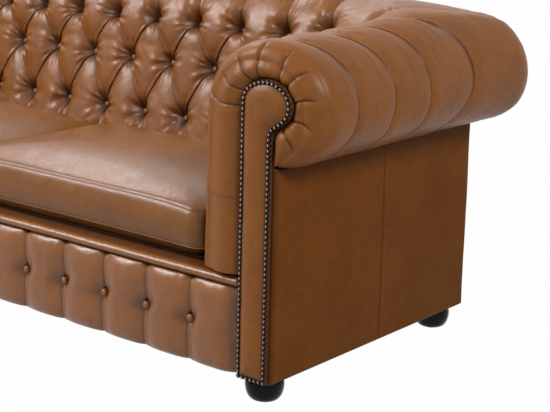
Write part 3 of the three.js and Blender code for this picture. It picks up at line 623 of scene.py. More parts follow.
def make_materials():
    chosen = colours()
    shade = chosen.painted_fold_shade
    # What is leaned on and brushed past is polished by use, and the rest is duller.
    for key, name, base, specular, coat, roughness in (
        ("leather", "Antiqued tan leather", chosen.leather, 0.15, 0.12, 0.45),
        ("polished", "Antiqued tan leather polished by backs", chosen.polished_leather, 0.42, 0.12, 0.40),
        ("front", "Antiqued tan leather polished by legs", chosen.leather, 0.50, 0.18, 0.33),
        # The outside leather's darker colour is painted shade.
        ("outside", "Antiqued tan leather outside", chosen.outside_leather, 0.02, 0.05, 0.42),
        ("cushion", "Antiqued tan leather cushions", chosen.cushion_leather, 0.38, 0.09, 0.33),
    ):
        MATERIALS[key] = leather_material(name, base, shade, specular, coat, roughness)
    # Waxed polyester thread: slightly shiny, lighter than the leather.
    MATERIALS["thread"] = plain_material("Waxed thread", chosen.thread, 0.55, grit=0.0004)
    # Plated steel domes with an antiqued bronze finish: dark, with a bright crown that is partly rubbed
    # bronze and partly a painted highlight.
    MATERIALS["nails"] = nail_material("Antiqued bronze nails", chosen.nails, chosen.nail_crowns_and_highlights)
    # Sprayed black lacquer on turned hardwood: deep and mirror-like.
    MATERIALS["lacquer"] = plain_material("Black lacquer", chosen.lacquer, 0.10, grit=0.002, specular=0.12)
    MATERIALS["wood"] = wood_material("Bare beech", chosen.wood, chosen.wood_grain)
    # Its dark colour is painted shade for the gap under the cushions.
    MATERIALS["lining"] = cloth_material("Cotton lining", chosen.lining, 0.0012)
    MATERIALS["cambric"] = cloth_material("Black cambric", chosen.cambric, 0.0009)
    # Drawn spring wire and rolled studs: grey, softly reflecting.
    MATERIALS["steel"] = plain_material("Drawn steel wire", chosen.steel, 0.38, metallic=1.0)
    # Moulded polypropylene glides: black, dull.
    MATERIALS["plastic"] = plain_material("Moulded black polypropylene", chosen.plastic, 0.5)


# Meshes
def in_scene(name, data):
    """A new object at the origin, linked to the scene."""
    made = bpy.data.objects.new(name, data)
    bpy.context.scene.collection.objects.link(made)
    return made


def new_object(name, vertices, faces, material, attributes=None, smooth_shading=True):
    """An object at the origin from arrays of points and faces."""
    mesh = bpy.data.meshes.new(name)
    mesh.from_pydata(np.asarray(vertices).tolist(), [], faces)
    for key, values in (attributes or {}).items():
        layer = mesh.attributes.new(key, "FLOAT", "POINT")
        layer.data.foreach_set("value", np.asarray(values, dtype=np.float32))
    mesh.materials.append(material)
    mesh.polygons.foreach_set("use_smooth", [smooth_shading] * len(mesh.polygons))
    mesh.update()
    return in_scene(name, mesh)


def close_up(made, merge=1e-5):
    """Merges the seams between patches, closes what is left open and turns the faces outwards."""
    work = bmesh.new()
    work.from_mesh(made.data)
    bmesh.ops.remove_doubles(work, verts=work.verts, dist=merge)
    open_edges = [edge for edge in work.edges if edge.is_boundary]
    if open_edges:
        bmesh.ops.holes_fill(work, edges=open_edges, sides=0)
    bmesh.ops.recalc_face_normals(work, faces=work.faces)
    if work.calc_volume(signed=True) < 0:
        bmesh.ops.reverse_faces(work, faces=work.faces)
    for face in work.faces:
        face.smooth = True
    work.to_mesh(made.data)
    work.free()
    made.data.update()
    return made


def mirrored_copy(made, name):
    """The same piece on the other side of the sofa."""
    mesh = made.data.copy()
    mesh.name = name
    mesh.transform(Matrix.Scale(-1, 4, (1, 0, 0)))
    mesh.flip_normals()
    return in_scene(name, mesh)


def grid_faces(rows, columns, closed=False, first=0):
    """Quads of a grid whose vertices run along the columns first."""
    faces = []
    span = columns if closed else columns - 1
    for i in range(rows - 1):
        for j in range(span):
            k = (j + 1) % columns
            a, b = first + i * columns + j, first + i * columns + k
            faces.append((a, b, b + columns, a + columns))
    return faces


class Patches:
    """Collects grids of points into one mesh, with their painted shade."""

    def __init__(self):
        self.points, self.folds, self.faces, self.count = [], [], [], 0

    def add(self, points, fold, faces):
        self.points.append(points)
        self.folds.append(fold)
        self.faces.extend([tuple(self.count + k for k in face) for face in faces])
        self.count += len(points)

    def add_grid(self, points, fold, closed=False):
        rows, columns = points.shape[:2]
        fold = np.zeros(rows * columns) if fold is None else fold.reshape(-1)
        self.add(points.reshape(-1, 3), fold, grid_faces(rows, columns, closed))

    def zip_lines(self, first, second, fold):
        """Triangles between two lines of points that run side by side with different spacing."""
        ways = []
        for line in (first, second):
            steps = np.linalg.norm(np.diff(line, axis=0), axis=1)
            ways.append(np.concatenate([[0], np.cumsum(steps)]) / np.sum(steps))
        faces, i, j, count = [], 0, 0, len(first)
        while i < count - 1 or j < len(second) - 1:
            ahead = j == len(second) - 1 or (i < count - 1 and ways[0][i + 1] <= ways[1][j + 1])
            if ahead:
                faces.append((i, i + 1, count + j))
                i += 1
            else:
                faces.append((i, count + j + 1, count + j))
                j += 1
        self.add(np.concatenate([first, second]), fold, faces)

    def build(self, name, material):
        folds = {"fold": np.concatenate(self.folds)}
        return new_object(name, np.concatenate(self.points), self.faces, material, folds)


def shell(name, points, fold, material):
    """A closed piece from one grid of points that runs round it."""
    patches = Patches()
    patches.add_grid(points, fold, closed=True)
    return close_up(patches.build(name, material))


# Deep-buttoned pads
GRADE = 0.6  # how much finer the mesh is at the folds
ROWS_BELOW = 20
ROWS_OVER = (34, 48, 34)
FOLD_GAP = 0.124  # from one fold to the next, square to it
# Where a pillow laps over the next one: its lip, and how far off the leather is still drawn along
LAP_LIP = 0.0015
DRAWN_OVER = 0.0008
DRAWN_UNDER = 0.012
# Straight pleats beyond the rows of buttons: how they swell and lap, and how deep they lie, by row
PLEAT_REACH = ((-1, 0.060), (2.6, 0.060), (3.2, 0.055), (3.6, 0.042), (4, 0.024))
PLEAT_LAP = 0.003
PLEAT_DEPTH_LOW = 0.012
PLEAT_DEPTHS = ((2.5, 0.018), (3, 0.016), (3.5, 0.011), (4, 0.007), (4.4, 0.004), (4.8, 0.0015), (5, 0.0))
# Round a button: where its wrinkles fan out, how far it holds the leather still and how far its painted
# shade reaches
WRINKLE_RADIUS = 0.030
WRINKLE_WIDTH = 0.021
STILL_RADIUS = 0.014
SHADE_RADIUS = 0.027
# Widths of the painted shade lines in the folds and the pleats
FOLD_LINE = 0.005
PLEAT_LINE = 0.0028
# Fine pucker: its depth, its size across and along its streaks, and the size of the spots it comes in
PUCKER_DEPTH = 0.0022
PUCKER_SIZE = 0.0075
PUCKER_ALONG = 0.12
PUCKER_SPOTS = 0.045


def graded(x):
    """Spaces steps finely at whole numbers, where the folds are."""
    return x - GRADE * np.sin(2 * math.pi * x) / (2 * math.pi)


def fullness(distance, half, power):
    """Rise of a stuffed pillow from a fold, 0 to 1."""
    u = np.clip(distance / half, 0, 1)
    return (1 - (1 - u) ** 2) ** power


def lapped(distance, half, lap, power=0.6):
    """Height beside a fold, and how far its leather is drawn under. The side with distance < 0 laps over."""
    far = np.abs(distance)
    height = fullness(far, half, power)
    edge = 0.5 * smooth(far / LAP_LIP)
    height = np.where(distance < 0, np.maximum(height, edge), height)
    drawn = lap * np.where(distance < 0, crease(far, DRAWN_OVER), crease(far, DRAWN_UNDER))
    return height, drawn


def bow(phase, row):
    """On the arms the pleats bow backwards on the outside of the roll, in columns."""
    reach = PLEAT_BEND / ARM_PITCH * np.sin(math.pi * np.clip((row - CREST_ROW) / 1.6, 0, 1))
    return reach * smooth(2 * phase + 1) * smooth(ARM_COLUMNS - phase)


def nearest_button(side, phase, row):
    """Distance and bearing of the nearest button, and a number of its own that turns its wrinkles."""
    row_gap = (ROW_HIGH - ROW_LOW) / 2 * 1.04
    nearest = np.full_like(phase, 1.0)
    bearing = np.zeros_like(phase)
    own = np.zeros_like(phase)
    for level in (0, 1, 2):
        number = np.round(phase - level / 2)
        dx, dz = (phase - level / 2 - number) * side.pitch, (row - level) * row_gap
        far = np.hypot(dx, dz)
        bearing = np.where(far < nearest, np.arctan2(dz, dx), bearing)
        own = np.where(far < nearest, 2.4 * number + 1.7 * level, own)
        nearest = np.minimum(nearest, far)
    return nearest, bearing, own


def fanned_wrinkles(nearest, bearing, own):
    """Sharp, uneven wrinkles that fan out from a button, deepest to its sides, as a share."""
    ring = bell(nearest - WRINKLE_RADIUS, WRINKLE_WIDTH)
    warped = bearing + 0.30 * np.sin(2 * bearing + own) + 0.18 * np.sin(3 * bearing - 2 * own)
    rays = 1.4 - 1.5 * np.abs(np.sin(4.5 * warped + own)) - 1.1 * np.abs(np.sin(7 * warped - own))
    return ring * rays * (0.40 + 0.60 * np.cos(bearing) ** 2)


def pad_lumps(side, base, row):
    """Unevenness of the stuffing. Below the last row and over the crest the leather also puckers
    square to the sofa's side."""
    stretch = np.full(3, PUCKER_ALONG)
    stretch[1 if side is ARM else 0] = 1
    streaks = value_noise(base * stretch, PUCKER_SIZE, 7) * value_noise(base, PUCKER_SPOTS, 8)
    below = smooth((0.1 - row) / 0.4) * 1.6
    over = smooth((row - TOP_ROW) / 0.4) * smooth((4.3 - row) / 0.8)
    return uneven(base, BROAD_LUMPS, SMALL_LUMPS) + PUCKER_DEPTH * streaks * (below + over)


def tufted(side, phase, row, shift, fade):
    """Points of the deep-buttoned leather and their painted shade.
    phase counts folds along the side and is whole at the top row's buttons; shift turns it to columns."""
    size = sizes()
    half_fold = FOLD_GAP / 2
    height = np.clip(row, 0, TOP_ROW) / 2
    a, b = phase + height, phase - height
    off_a, off_b = a - np.round(a), b - np.round(b)
    rise_a, drawn_a = lapped(-off_a * FOLD_GAP, half_fold, size.lap)
    rise_b, drawn_b = lapped(off_b * FOLD_GAP, half_fold, size.lap)
    inside = smooth(row / 0.12) * smooth((TOP_ROW - row) / 0.12)
    arch = 1 - 0.3 * (np.sin(math.pi * off_a) ** 2 + np.sin(math.pi * off_b) ** 2)
    diamond = size.fold_depth * (1 - rise_a * rise_b) * arch

    # Beyond the rows of buttons one straight pleat runs on from each button.
    beside = phase - np.round(phase)
    reach = np.interp(row, *zip(*PLEAT_REACH))
    rise_p, drawn_p = lapped(-beside * side.pitch, reach, PLEAT_LAP)
    at_rows = ((-1, PLEAT_DEPTH_LOW), (0, size.fold_depth), (TOP_ROW, size.fold_depth), *PLEAT_DEPTHS)
    pleat_depth = np.interp(row, *zip(*at_rows))
    outside = np.clip(np.where(row < 0, -row, row - TOP_ROW) / 0.25, 0, 1)
    outside = np.where((row >= 0) & (row <= TOP_ROW), 0, smooth(outside))
    depth = mix(diamond, pleat_depth * (1 - rise_p), outside)

    # Every button draws the leather down round itself.
    nearest, bearing, own = nearest_button(side, phase, row)
    draw = bell(nearest, size.button_reach)
    depth = depth + (size.button_depth * drawn_in(row) - size.fold_depth) * draw
    depth = depth + size.wrinkle * fanned_wrinkles(nearest, bearing, own)

    column = phase + shift
    corner = near_corner(side, column) * top_row_bump(row)
    depth = depth * mix(1, CORNER_DEPTH, corner) * fade
    calm = (1 - bell(nearest, STILL_RADIUS)) * fade
    move_a = drawn_a / FOLD_GAP * inside * calm
    move_b = -drawn_b / FOLD_GAP * inside * calm
    move_p = drawn_p / side.pitch * outside * calm * smooth((LAST_ROW - row) / 0.5) * smooth(row + 0.8)
    still = smooth((side.last + 1 - side.along(column)) / 0.15)
    at_column = column + still * ((move_a + move_b) / 2 + move_p)
    at_row = row + still * (move_a - move_b)

    base = pad_point(side, at_column, at_row)
    normal = pad_normal(side, at_column, at_row)
    depth = depth + edge_inset(side, column, row)
    ends = smooth(5 * (row + 1)) * smooth(5 * (LAST_ROW - row))
    points = base - normal * (depth + pad_lumps(side, base, row) * fade * ends)[:, None]
    # Painted shade: dark lines in the folds and the pleats, and darker leather in the dimple round each
    # button.
    dark_fold = crease(np.minimum(np.abs(off_a), np.abs(off_b)) * FOLD_GAP, FOLD_LINE)
    dark_pleat = crease(beside * side.pitch, PLEAT_LINE) * np.minimum(1, pleat_depth / 0.014)
    dark = 0.75 * mix(dark_fold, dark_pleat, outside) * fade + 0.8 * bell(nearest, SHADE_RADIUS) * fade
    return points, np.clip(dark, 0, 1)


def diamond_lattice(first, last, steps):
    """Steps along both families of folds, between columns first and last and rows 0 and 2."""
    low = int(math.floor((first - 1) * steps)) - 1
    high = int(math.ceil((last + 1) * steps)) + 1
    i, j = np.meshgrid(np.arange(low, high + 1), np.arange(low, high + 1), indexing="ij")
    keep = (i - j >= 0) & (i - j <= 2 * steps)
    keep &= (i + j >= round(2 * first * steps)) & (i + j <= round(2 * last * steps))
    index = np.full(i.shape, -1)
    index[keep] = np.arange(keep.sum())
    faces = []
    corners = [index[:-1, :-1], index[1:, :-1], index[1:, 1:], index[:-1, 1:]]
    for quad in zip(*[c.ravel() for c in corners]):
        kept = tuple(k for k in quad if k >= 0)
        if len(kept) > 2:
            faces.append(kept)
    return i[keep], j[keep], faces


def rows_over():
    """Rows of the strips over the crest and down the outside."""
    starts = (TOP_ROW, CREST_ROW, NOSE_ROW)
    return [np.linspace(start, start + 1, count + 1)[1:] for start, count in zip(starts, ROWS_OVER)]


def edge_rows(column):
    """Every row of a pad's end, from the seat to the outside panel, with the lattice's own points."""
    below = np.linspace(-1, 0, ROWS_BELOW + 1)[:-1]
    t = np.arange(sizes().tuft_steps + 1) / sizes().tuft_steps
    return np.concatenate([below, graded(column + t) - graded(column - t), *rows_over()])


def tufted_skin(patches, side, first, last, fade, shift):
    """The visible leather between two columns, as a lattice of diamonds with strips above and below."""
    steps = sizes().tuft_steps

    def leather(phase, row):
        return tufted(side, phase, row, shift(phase, row), fade(phase))

    i, j, faces = diamond_lattice(first, last, steps)
    a, b = graded(i / steps), graded(j / steps)
    patches.add(*leather((a + b) / 2, a - b), faces)
    columns = graded(first + np.arange(round((last - first) * steps) + 1) / steps)
    below = np.linspace(-1, 0, ROWS_BELOW + 1)
    over = np.concatenate([[float(TOP_ROW)], *rows_over()])
    for rows in (below, over):
        points, fold = leather(*[grid.ravel() for grid in np.meshgrid(columns, rows, indexing="ij")])
        patches.add_grid(points.reshape(len(columns), len(rows), 3), fold)


def front_rows():
    """The same stretch as edge_rows in even, finer steps."""
    pieces = [np.linspace(start, end, count + 1)[1:] for start, end, count in FRONT_ROWS]
    return np.concatenate([[-1.0], *pieces])


def row_ends(rows):
    """0 at both ends of a pad, 1 between them."""
    return smooth((LAST_ROW - rows) / 0.2) * smooth((rows + 1) / 0.1)


# Hidden inner side of a pad, round the frame: out and height of its corners
HOLLOW_IN = -0.0803
WOOD = -(PANEL_THICK + 3 * GAP)
HOLLOW = (
    (HOLLOW_IN, SEAT),
    (HOLLOW_IN, 0.619),
    (-0.0643, 0.668),
    (-0.0323, 0.700),
    (0.0275, 0.700),
    (0.0553, 0.644),
    (0.0553, 0.619),
    (0.0275, 0.556),
    (WOOD, 0.556),
    (WOOD, UNDER),
)


def hollow_ring(side, column, count):
    """Evenly spaced points round the hollow of a pad, at a column."""
    line = np.array(HOLLOW)
    out, z = points_along(line, np.linspace(0, distances(line)[-1], count)).T
    return points_at(*side_place(side, np.full(count, float(column)), out, np.full(count, LAST_ROW)), z)


def keyhole_curve():
    """The keyhole's head and neck, from the top of the left stem clockwise: out and height."""
    angle = np.linspace(math.pi, math.radians(HEAD_END), HEAD_STEPS + 1)
    centre = np.array((-HEAD_IN, HEAD_HIGH))
    head = centre + np.stack([HEAD_WIDE * np.cos(angle), HEAD_TALL * np.sin(angle)], axis=-1)
    way = head[-1] - head[-2]
    way /= np.linalg.norm(way)
    end = np.array((-STEM_RIGHT, NECK_HIGH))
    handles = (head[-1], head[-1] + NECK_HANDLE_HIGH * way, end + (0, NECK_HANDLE_LOW), end)
    t = np.linspace(0, 1, NECK_STEPS + 1)[1:, None]
    neck = sum(c * (1 - t) ** (3 - k) * t**k * handles[k] for k, c in enumerate((1, 3, 3, 1)))
    return np.concatenate([head, neck])


def keyhole_inner_path(angle, z):
    """Where the gathered leather meets the facing, for points of the arm's outline at that angle
    round the head's centre and at that height: out and height."""
    turn_in = math.radians(HEAD_END)
    radius = HEAD_WIDE * HEAD_TALL / np.hypot(HEAD_TALL * np.cos(angle), HEAD_WIDE * np.sin(angle))
    beside = (z < HEAD_HIGH) & (angle > math.pi / 2)
    out = np.where(beside, -STEM_LEFT, -HEAD_IN + radius * np.cos(angle))
    high = np.where(beside, z, HEAD_HIGH + radius * np.sin(angle))
    # The last stretch runs round to the neck and down beside the stem.
    start = math.atan2(HEAD_TALL * math.sin(turn_in), HEAD_WIDE * math.cos(turn_in))
    path = np.concatenate([keyhole_curve()[HEAD_STEPS:], [(-STEM_RIGHT, UNDER)]])
    share = np.clip((start - angle) / (start - np.min(angle)), 0, 1)
    path_out, path_high = points_along(path, share * distances(path)[-1]).T
    last = angle < start
    return np.where(last, path_out, out), np.where(last, path_high, high)


def turned_on(angle, out):
    """Lets an angle on the inner side run on past half a turn, so that it doesn't jump."""
    return np.where((angle < -math.pi / 2) & (out < 0), angle + 2 * math.pi, angle)


def gathers(out, z, strength):
    """Depth of the creases that radiate from the arm's head, and the painted shade in them."""
    dx, dz = out + GATHER_IN, z - ROLL_MIDDLE
    radius, angle = np.hypot(dx, dz), turned_on(np.arctan2(dz, dx), dx)
    depth, dark = np.zeros_like(out), np.zeros_like(out)
    for outer, inner, reach in GATHERS:
        share = np.clip((reach - radius) / (reach - GATHER_INNER), 0, 1)
        middle = np.radians(mix(outer, inner, share) + 3 * np.sin(math.pi * share))
        aside = (angle - middle) * radius
        broad, _ = lapped(aside, mix(*GATHER_WIDE, share), 0)
        narrow, _ = lapped(aside, GATHER_NARROW, 0)
        fade = smooth((reach + 0.010 - radius) / 0.022)
        drop = 0.35 * (1 - broad) + 0.45 * (1 - narrow)
        depth = np.maximum(depth, sizes().gather_depth * drop * fade)
        dark = np.maximum(dark, crease(aside, GATHER_LINE) * fade)
    rays = points_at(angle * FINE_RADIUS, radius * 0.15, 0)
    fine = value_noise(rays, 0.0065, 17) * bell(radius - FINE_RADIUS, FINE_REACH)
    pleated = (angle < math.radians(FINE_TO)) & (angle > math.radians(FINE_FROM))
    depth = depth + FINE_DEPTH * fine * pleated
    return depth * strength, 0.85 * dark * strength


def arm_edge_ring(rows, share):
    """A line along the rounded front edge of the arm, from the last buttoned leather (0) to the front (1),
    with its painted shade and its plain outline."""
    reach, radius = np.interp(rows, EDGE_ROWS, EDGE_DEPTHS), np.interp(rows, EDGE_ROWS, EDGE_RADII)
    start = np.arcsin(np.clip(1 - (FIRST_TUFT + ARM_START * ARM_PITCH) / reach, 0, 1))
    angle = mix(start, math.pi / 2, share)
    at = (reach * (1 - np.sin(angle)) - FIRST_TUFT) / ARM_PITCH
    at = mix(np.full_like(rows, ARM_START), at, smooth(share * 8))
    base = pad_point(ARM, at, rows)
    normal = pad_normal(ARM, at, rows)
    if share == 0:
        return base - normal * edge_inset(ARM, at, rows)[:, None], np.zeros_like(rows), base
    normal[:, 1] = 0
    outline = base - normal * (radius * (1 - np.cos(angle)))[:, None]
    outline[:, 2] = np.where(rows <= -1, SEAT, outline[:, 2])
    way = normal * np.cos(angle)[:, None] + np.array(FORWARD) * np.sin(angle)[:, None]
    strength = smooth((angle - start) / math.radians(GATHER_TURN))
    depth, dark = gathers(outline[:, 0] - HALF, outline[:, 2], strength)
    lumps = uneven(outline, BROAD_LUMPS) * smooth(share * 2)
    return outline - way * ((depth + lumps) * row_ends(rows))[:, None], dark * row_ends(rows), outline


def arm_front(patches, coarse):
    """The rounded front edge of the arm, and its gathered front down to the facing."""
    rows = front_rows()
    ends = row_ends(rows)
    rings, folds = [], []
    first, _, _ = arm_edge_ring(coarse, 0)
    for share in np.linspace(0, 1, EDGE_RINGS + 1)[1:]:
        points, dark, outline = arm_edge_ring(rows, share)
        rings.append(points)
        folds.append(dark)
    patches.zip_lines(first, rings[0], np.zeros(len(first) + len(rows)))
    out, z = outline[:, 0] - HALF, outline[:, 2]
    angle = turned_on(np.arctan2(z - HEAD_HIGH, out + HEAD_IN), out + HEAD_IN)
    in_out, in_z = keyhole_inner_path(angle, z)
    full = np.minimum(1, np.hypot(out - in_out, z - in_z) / FRONT_FULL)
    for share in np.linspace(0, 1, FRONT_RINGS + 1)[1:]:
        at_out, at_z = mix(out, in_out, share), mix(z, in_z, share)
        depth, dark = gathers(at_out, at_z, 1)
        swell = sizes().front_swell * max(math.sin(math.pi * share), 0) ** 1.6
        tuck = FRONT_TUCK * smooth((share - 0.85) / 0.15)
        seam = crease(at_z - FRONT_SEAM_HIGH, 0.0012) * (out < FRONT_SEAM_OUT)
        lumps = uneven(points_at(at_out, FRONT, at_z), BROAD_LUMPS, FRONT_LUMPS)
        y = FRONT - swell * full + tuck + (depth + FRONT_SEAM_DEPTH * seam + lumps) * ends
        rings.append(points_at(HALF + at_out, y, at_z))
        # Painted shade: in the creases and the seam, and in the groove by the facing's nails.
        folds.append(np.maximum(dark, 0.7 * seam) * ends + 0.6 * smooth((share - 0.9) / 0.1))
    inner = rings[-1].copy()
    hollow = hollow_ring(ARM, ARM_COLUMNS, len(rows))
    at_front = hollow_ring(ARM, 0, len(rows))
    for ring in (inner, at_front):
        ring[:, 1] = FRONT + FRONT_PAD
    # The hidden inner side gets full painted shade.
    hidden = np.ones(len(rows))
    shade = np.array([*folds, folds[-1], hidden, hidden])
    patches.add_grid(np.array([*rings, inner, at_front, hollow]), shade)
    return hollow


def pad_end(patches, side, phase, hollow, shift):
    """Closes a pad on the corner's mitre, from the leather to the hollow round the frame."""
    rows = edge_rows(phase)
    phases = np.full_like(rows, phase)
    edge = tufted(side, phases, rows, shift(phases, rows), np.ones_like(rows))[0]
    # The closing strip is hidden and gets full painted shade.
    patches.zip_lines(edge, hollow, np.ones(len(rows) + len(hollow)))


# Leather-covered buttons: how far they rise, and how far their middle stands out of the leather
BUTTON_RISE = 0.0062
BUTTON_LIFT = 0.0055
DOME_FACETS = 14
SIDES = (("right", np.array((1, 1, 1))), ("left", np.array((-1, 1, 1))))


def button_seats(side, places):
    """Middle and direction of each button, for its column and row."""
    column, row = [np.array(values, dtype=float) for values in zip(*places)]
    corner = near_corner(side, column) * top_row_bump(row)
    depth = sizes().button_depth * drawn_in(row) * mix(1, CORNER_DEPTH, corner) - BUTTON_LIFT
    normal = pad_normal(side, column, row)
    return pad_point(side, column, row) - normal * depth[:, None], normal


def arm_places():
    """Column and row of every button of an arm."""
    return [(i + (0.5 if row == 1 else 0), row) for row in (0, 1, 2) for i in range(ARM_COLUMNS)]


def back_places():
    """Column and row of every button of the back."""
    places = []
    for row in (0, 1, 2):
        count = BACK_COLUMNS if row == 1 else BACK_COLUMNS - 1
        places += [(i - (count - 1) / 2, row) for i in range(count)]
    return places


# Things that repeat, by Geometry Nodes
STITCH_SHOWN = 0.72


def repeating_tree(name, inputs):
    """A Geometry Nodes tree with a geometry, these inputs and a material, and what they hold in it."""
    tree = bpy.data.node_groups.new(name, "GeometryNodeTree")
    for socket, kind in {"Geometry": "Geometry", **inputs, "Material": "Material"}.items():
        tree.interface.new_socket(socket, in_out="INPUT", socket_type=f"NodeSocket{kind}")
    tree.interface.new_socket("Geometry", in_out="OUTPUT", socket_type="NodeSocketGeometry")
    return tree, add_node(tree, "NodeGroupInput").outputs


def repeat_on_points(tree, points, shape, scale, direction, material):
    """Scales a shape, puts it on every point with its Z along the direction, and makes it real."""
    scaled = add_node(tree, "GeometryNodeTransform", {"Geometry": shape, "Scale": scale})
    turn = add_node(tree, "FunctionNodeAlignRotationToVector", {"Vector": direction}, axis="Z")
    placed = add_node(
        tree, "GeometryNodeInstanceOnPoints", {"Points": points, "Instance": scaled, "Rotation": turn}
    )
    real = add_node(tree, "GeometryNodeRealizeInstances", {"Geometry": placed})
    rounded = add_node(tree, "GeometryNodeSetShadeSmooth", {0: real})
    dressed = add_node(tree, "GeometryNodeSetMaterial", {"Geometry": rounded, "Material": material})
    add_node(tree, "NodeGroupOutput", {"Geometry": dressed})


def domes_tree():
    """Geometry Nodes: a dome on every point, its top along the point's own direction."""
    tree, entry = repeating_tree("Domes on points", {"Width": "Float", "Rise": "Float", "Facets": "Int"})
    facets = {"Segments": entry["Facets"], "Rings": 6, "Radius": 0.5}
    ball = add_node(tree, "GeometryNodeMeshUVSphere", facets)
    scale = add_node(tree, "ShaderNodeCombineXYZ", {0: entry["Width"], 1: entry["Width"], 2: entry["Rise"]})
    doubled = add_node(tree, "ShaderNodeVectorMath", {0: scale, 1: (1, 1, 2)}, operation="MULTIPLY")
    direction = add_node(
        tree, "GeometryNodeInputNamedAttribute", {"Name": "direction"}, data_type="FLOAT_VECTOR"
    )
    repeat_on_points(tree, entry["Geometry"], ball, doubled, direction, entry["Material"])
    return tree


def stitches_tree():
    """Geometry Nodes: stitches laid along the edges of a line, each along its own stretch."""
    tree, entry = repeating_tree("Stitches along a seam", {"Pitch": "Float", "Thread": "Float"})
    line = add_node(tree, "GeometryNodeMeshToCurve", {"Mesh": entry["Geometry"]})
    points = add_node(
        tree, "GeometryNodeCurveToPoints", {"Curve": line, "Length": entry["Pitch"]}, mode="LENGTH"
    )
    ball = add_node(tree, "GeometryNodeMeshUVSphere", {"Segments": 6, "Rings": 5, "Radius": 0.5})
    long = add_node(tree, "ShaderNodeMath", {0: entry["Pitch"], 1: STITCH_SHOWN}, operation="MULTIPLY")
    size = add_node(tree, "ShaderNodeCombineXYZ", {0: entry["Thread"], 1: entry["Thread"], 2: long})
    repeat_on_points(tree, points, ball, size, points.outputs["Tangent"], entry["Material"])
    return tree


TREES = {}


def by_nodes(name, carrier, tree_name, values):
    """Runs a Geometry Nodes tree on a carrier mesh and keeps the result as a plain mesh object."""
    if tree_name not in TREES:
        TREES[tree_name] = {"domes": domes_tree, "stitches": stitches_tree}[tree_name]()
    tree = TREES[tree_name]
    worker = in_scene(f"{name}_worker", carrier)
    modifier = worker.modifiers.new("Repeat", "NODES")
    modifier.node_group = tree
    for socket in tree.interface.items_tree:
        if socket.in_out == "INPUT" and socket.name in values:
            modifier[socket.identifier] = values[socket.name]
    graph = bpy.context.evaluated_depsgraph_get()
    mesh = bpy.data.meshes.new_from_object(worker.evaluated_get(graph))
    mesh.name = name
    bpy.data.objects.remove(worker)
    return in_scene(name, mesh)


def domes(name, points, directions, width, rise, facets, material):
    carrier = bpy.data.meshes.new(f"{name}_points")
    carrier.from_pydata(np.asarray(points).tolist(), [], [])
    layer = carrier.attributes.new("direction", "FLOAT_VECTOR", "POINT")
    layer.data.foreach_set("vector", np.asarray(directions, dtype=np.float32).ravel())
    values = {"Width": width, "Rise": rise, "Facets": facets, "Material": material}
    return by_nodes(name, carrier, "domes", values)


def stitches(name, line, thread, material):
    """Stitches along a closed line of points."""
    carrier = bpy.data.meshes.new(f"{name}_line")
    edges = [(k, (k + 1) % len(line)) for k in range(len(line))]
    carrier.from_pydata([tuple(p) for p in line], edges, [])
    values = {"Pitch": sizes().stitch_pitch, "Thread": thread, "Material": material}
    return by_nodes(name, carrier, "stitches", values)


# Pieces
BODY = "sofa_body"


def settle(made, slot, *nodes, body=BODY):
    """Rides the piece on its body, and lets it stand for its CAD nodes."""
    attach(made, body)
    if nodes:
        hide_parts(*nodes)


def settle_pair(right, name, slot, node):
    """Settles the right piece and its mirror copy on the left, and gives both."""
    left = mirrored_copy(right, f"{name}_left")
    for side, made in (("right", right), ("left", left)):
        settle(made, slot, f"{node}_{side}")
    return right, left


def buttons(name, points, directions, material):
    return domes(name, points, directions, sizes().button_width, BUTTON_RISE, DOME_FACETS, material)


def arm_buttons(name, places, node=None):
    """Buttons of both arms at these columns and rows."""
    points, directions = button_seats(ARM, places)
    for side, sign in SIDES:
        made = buttons(f"{name}_{side}", points * sign, directions * sign, MATERIALS["leather"])
        settle(made, "leather", *([f"{node}_{side}"] if node else []))


class SOFA_OT_inside_arms(bpy.types.Operator):
    """Buttoned inside of both arms, carried over the roll to the outside panels"""

    bl_idname = "sofa.inside_arms"
    bl_label = "Inside arms"

    def execute(self, context):
        patches = Patches()

        def fade(phase):
            return smooth((phase * ARM_PITCH + FIRST_TUFT - FOLD_START) / (FIRST_TUFT - FOLD_START))

        tufted_skin(patches, ARM, ARM_START, ARM_COLUMNS, fade, bow)
        hollow = arm_front(patches, edge_rows(ARM_START))
        pad_end(patches, ARM, ARM_COLUMNS, hollow, bow)
        right = close_up(patches.build("inside_arm_leather_right", MATERIALS["leather"]))
        for made in settle_pair(right, "inside_arm_leather", "leather", "inside_arm"):
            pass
        arm_buttons("arm_buttons", arm_places())
        return {"FINISHED"}


class SOFA_OT_inside_back(bpy.types.Operator):
    """Buttoned inside of the back, mitred into the arms"""

    bl_idname = "sofa.inside_back"
    bl_label = "Inside back"

    def execute(self, context):
        patches = Patches()
        end = BACK_COLUMNS / 2

        def shift(phase, row):
            return np.full_like(phase, -0.5)

        phases = (0.5 - end, 0.5 + end)
        tufted_skin(patches, BACKREST, *phases, np.ones_like, shift)
        count = len(edge_rows(phases[0]))
        hollows = [hollow_ring(BACKREST, column, count) for column in (-end, end)]
        # The hidden hollow strip gets full painted shade.
        patches.add_grid(np.array(hollows), np.ones(2 * count))
        for phase, hollow in zip(phases, hollows):
            pad_end(patches, BACKREST, phase, hollow, shift)
        made = close_up(patches.build("inside_back_leather", MATERIALS["polished"]))
        settle(made, "leather", "inside_back")
        points, directions = button_seats(BACKREST, back_places())
        settle(buttons("back_buttons", points, directions, MATERIALS["polished"]), "leather")
        return {"FINISHED"}


class SOFA_OT_corner_buttons(bpy.types.Operator):
    """The button on each mitre"""

    bl_idname = "sofa.corner_buttons"
    bl_label = "Corner buttons"

    def execute(self, context):
        arm_buttons("corner_button_dome", [(ARM_COLUMNS, TOP_ROW)], "corner_button")
        return {"FINISHED"}
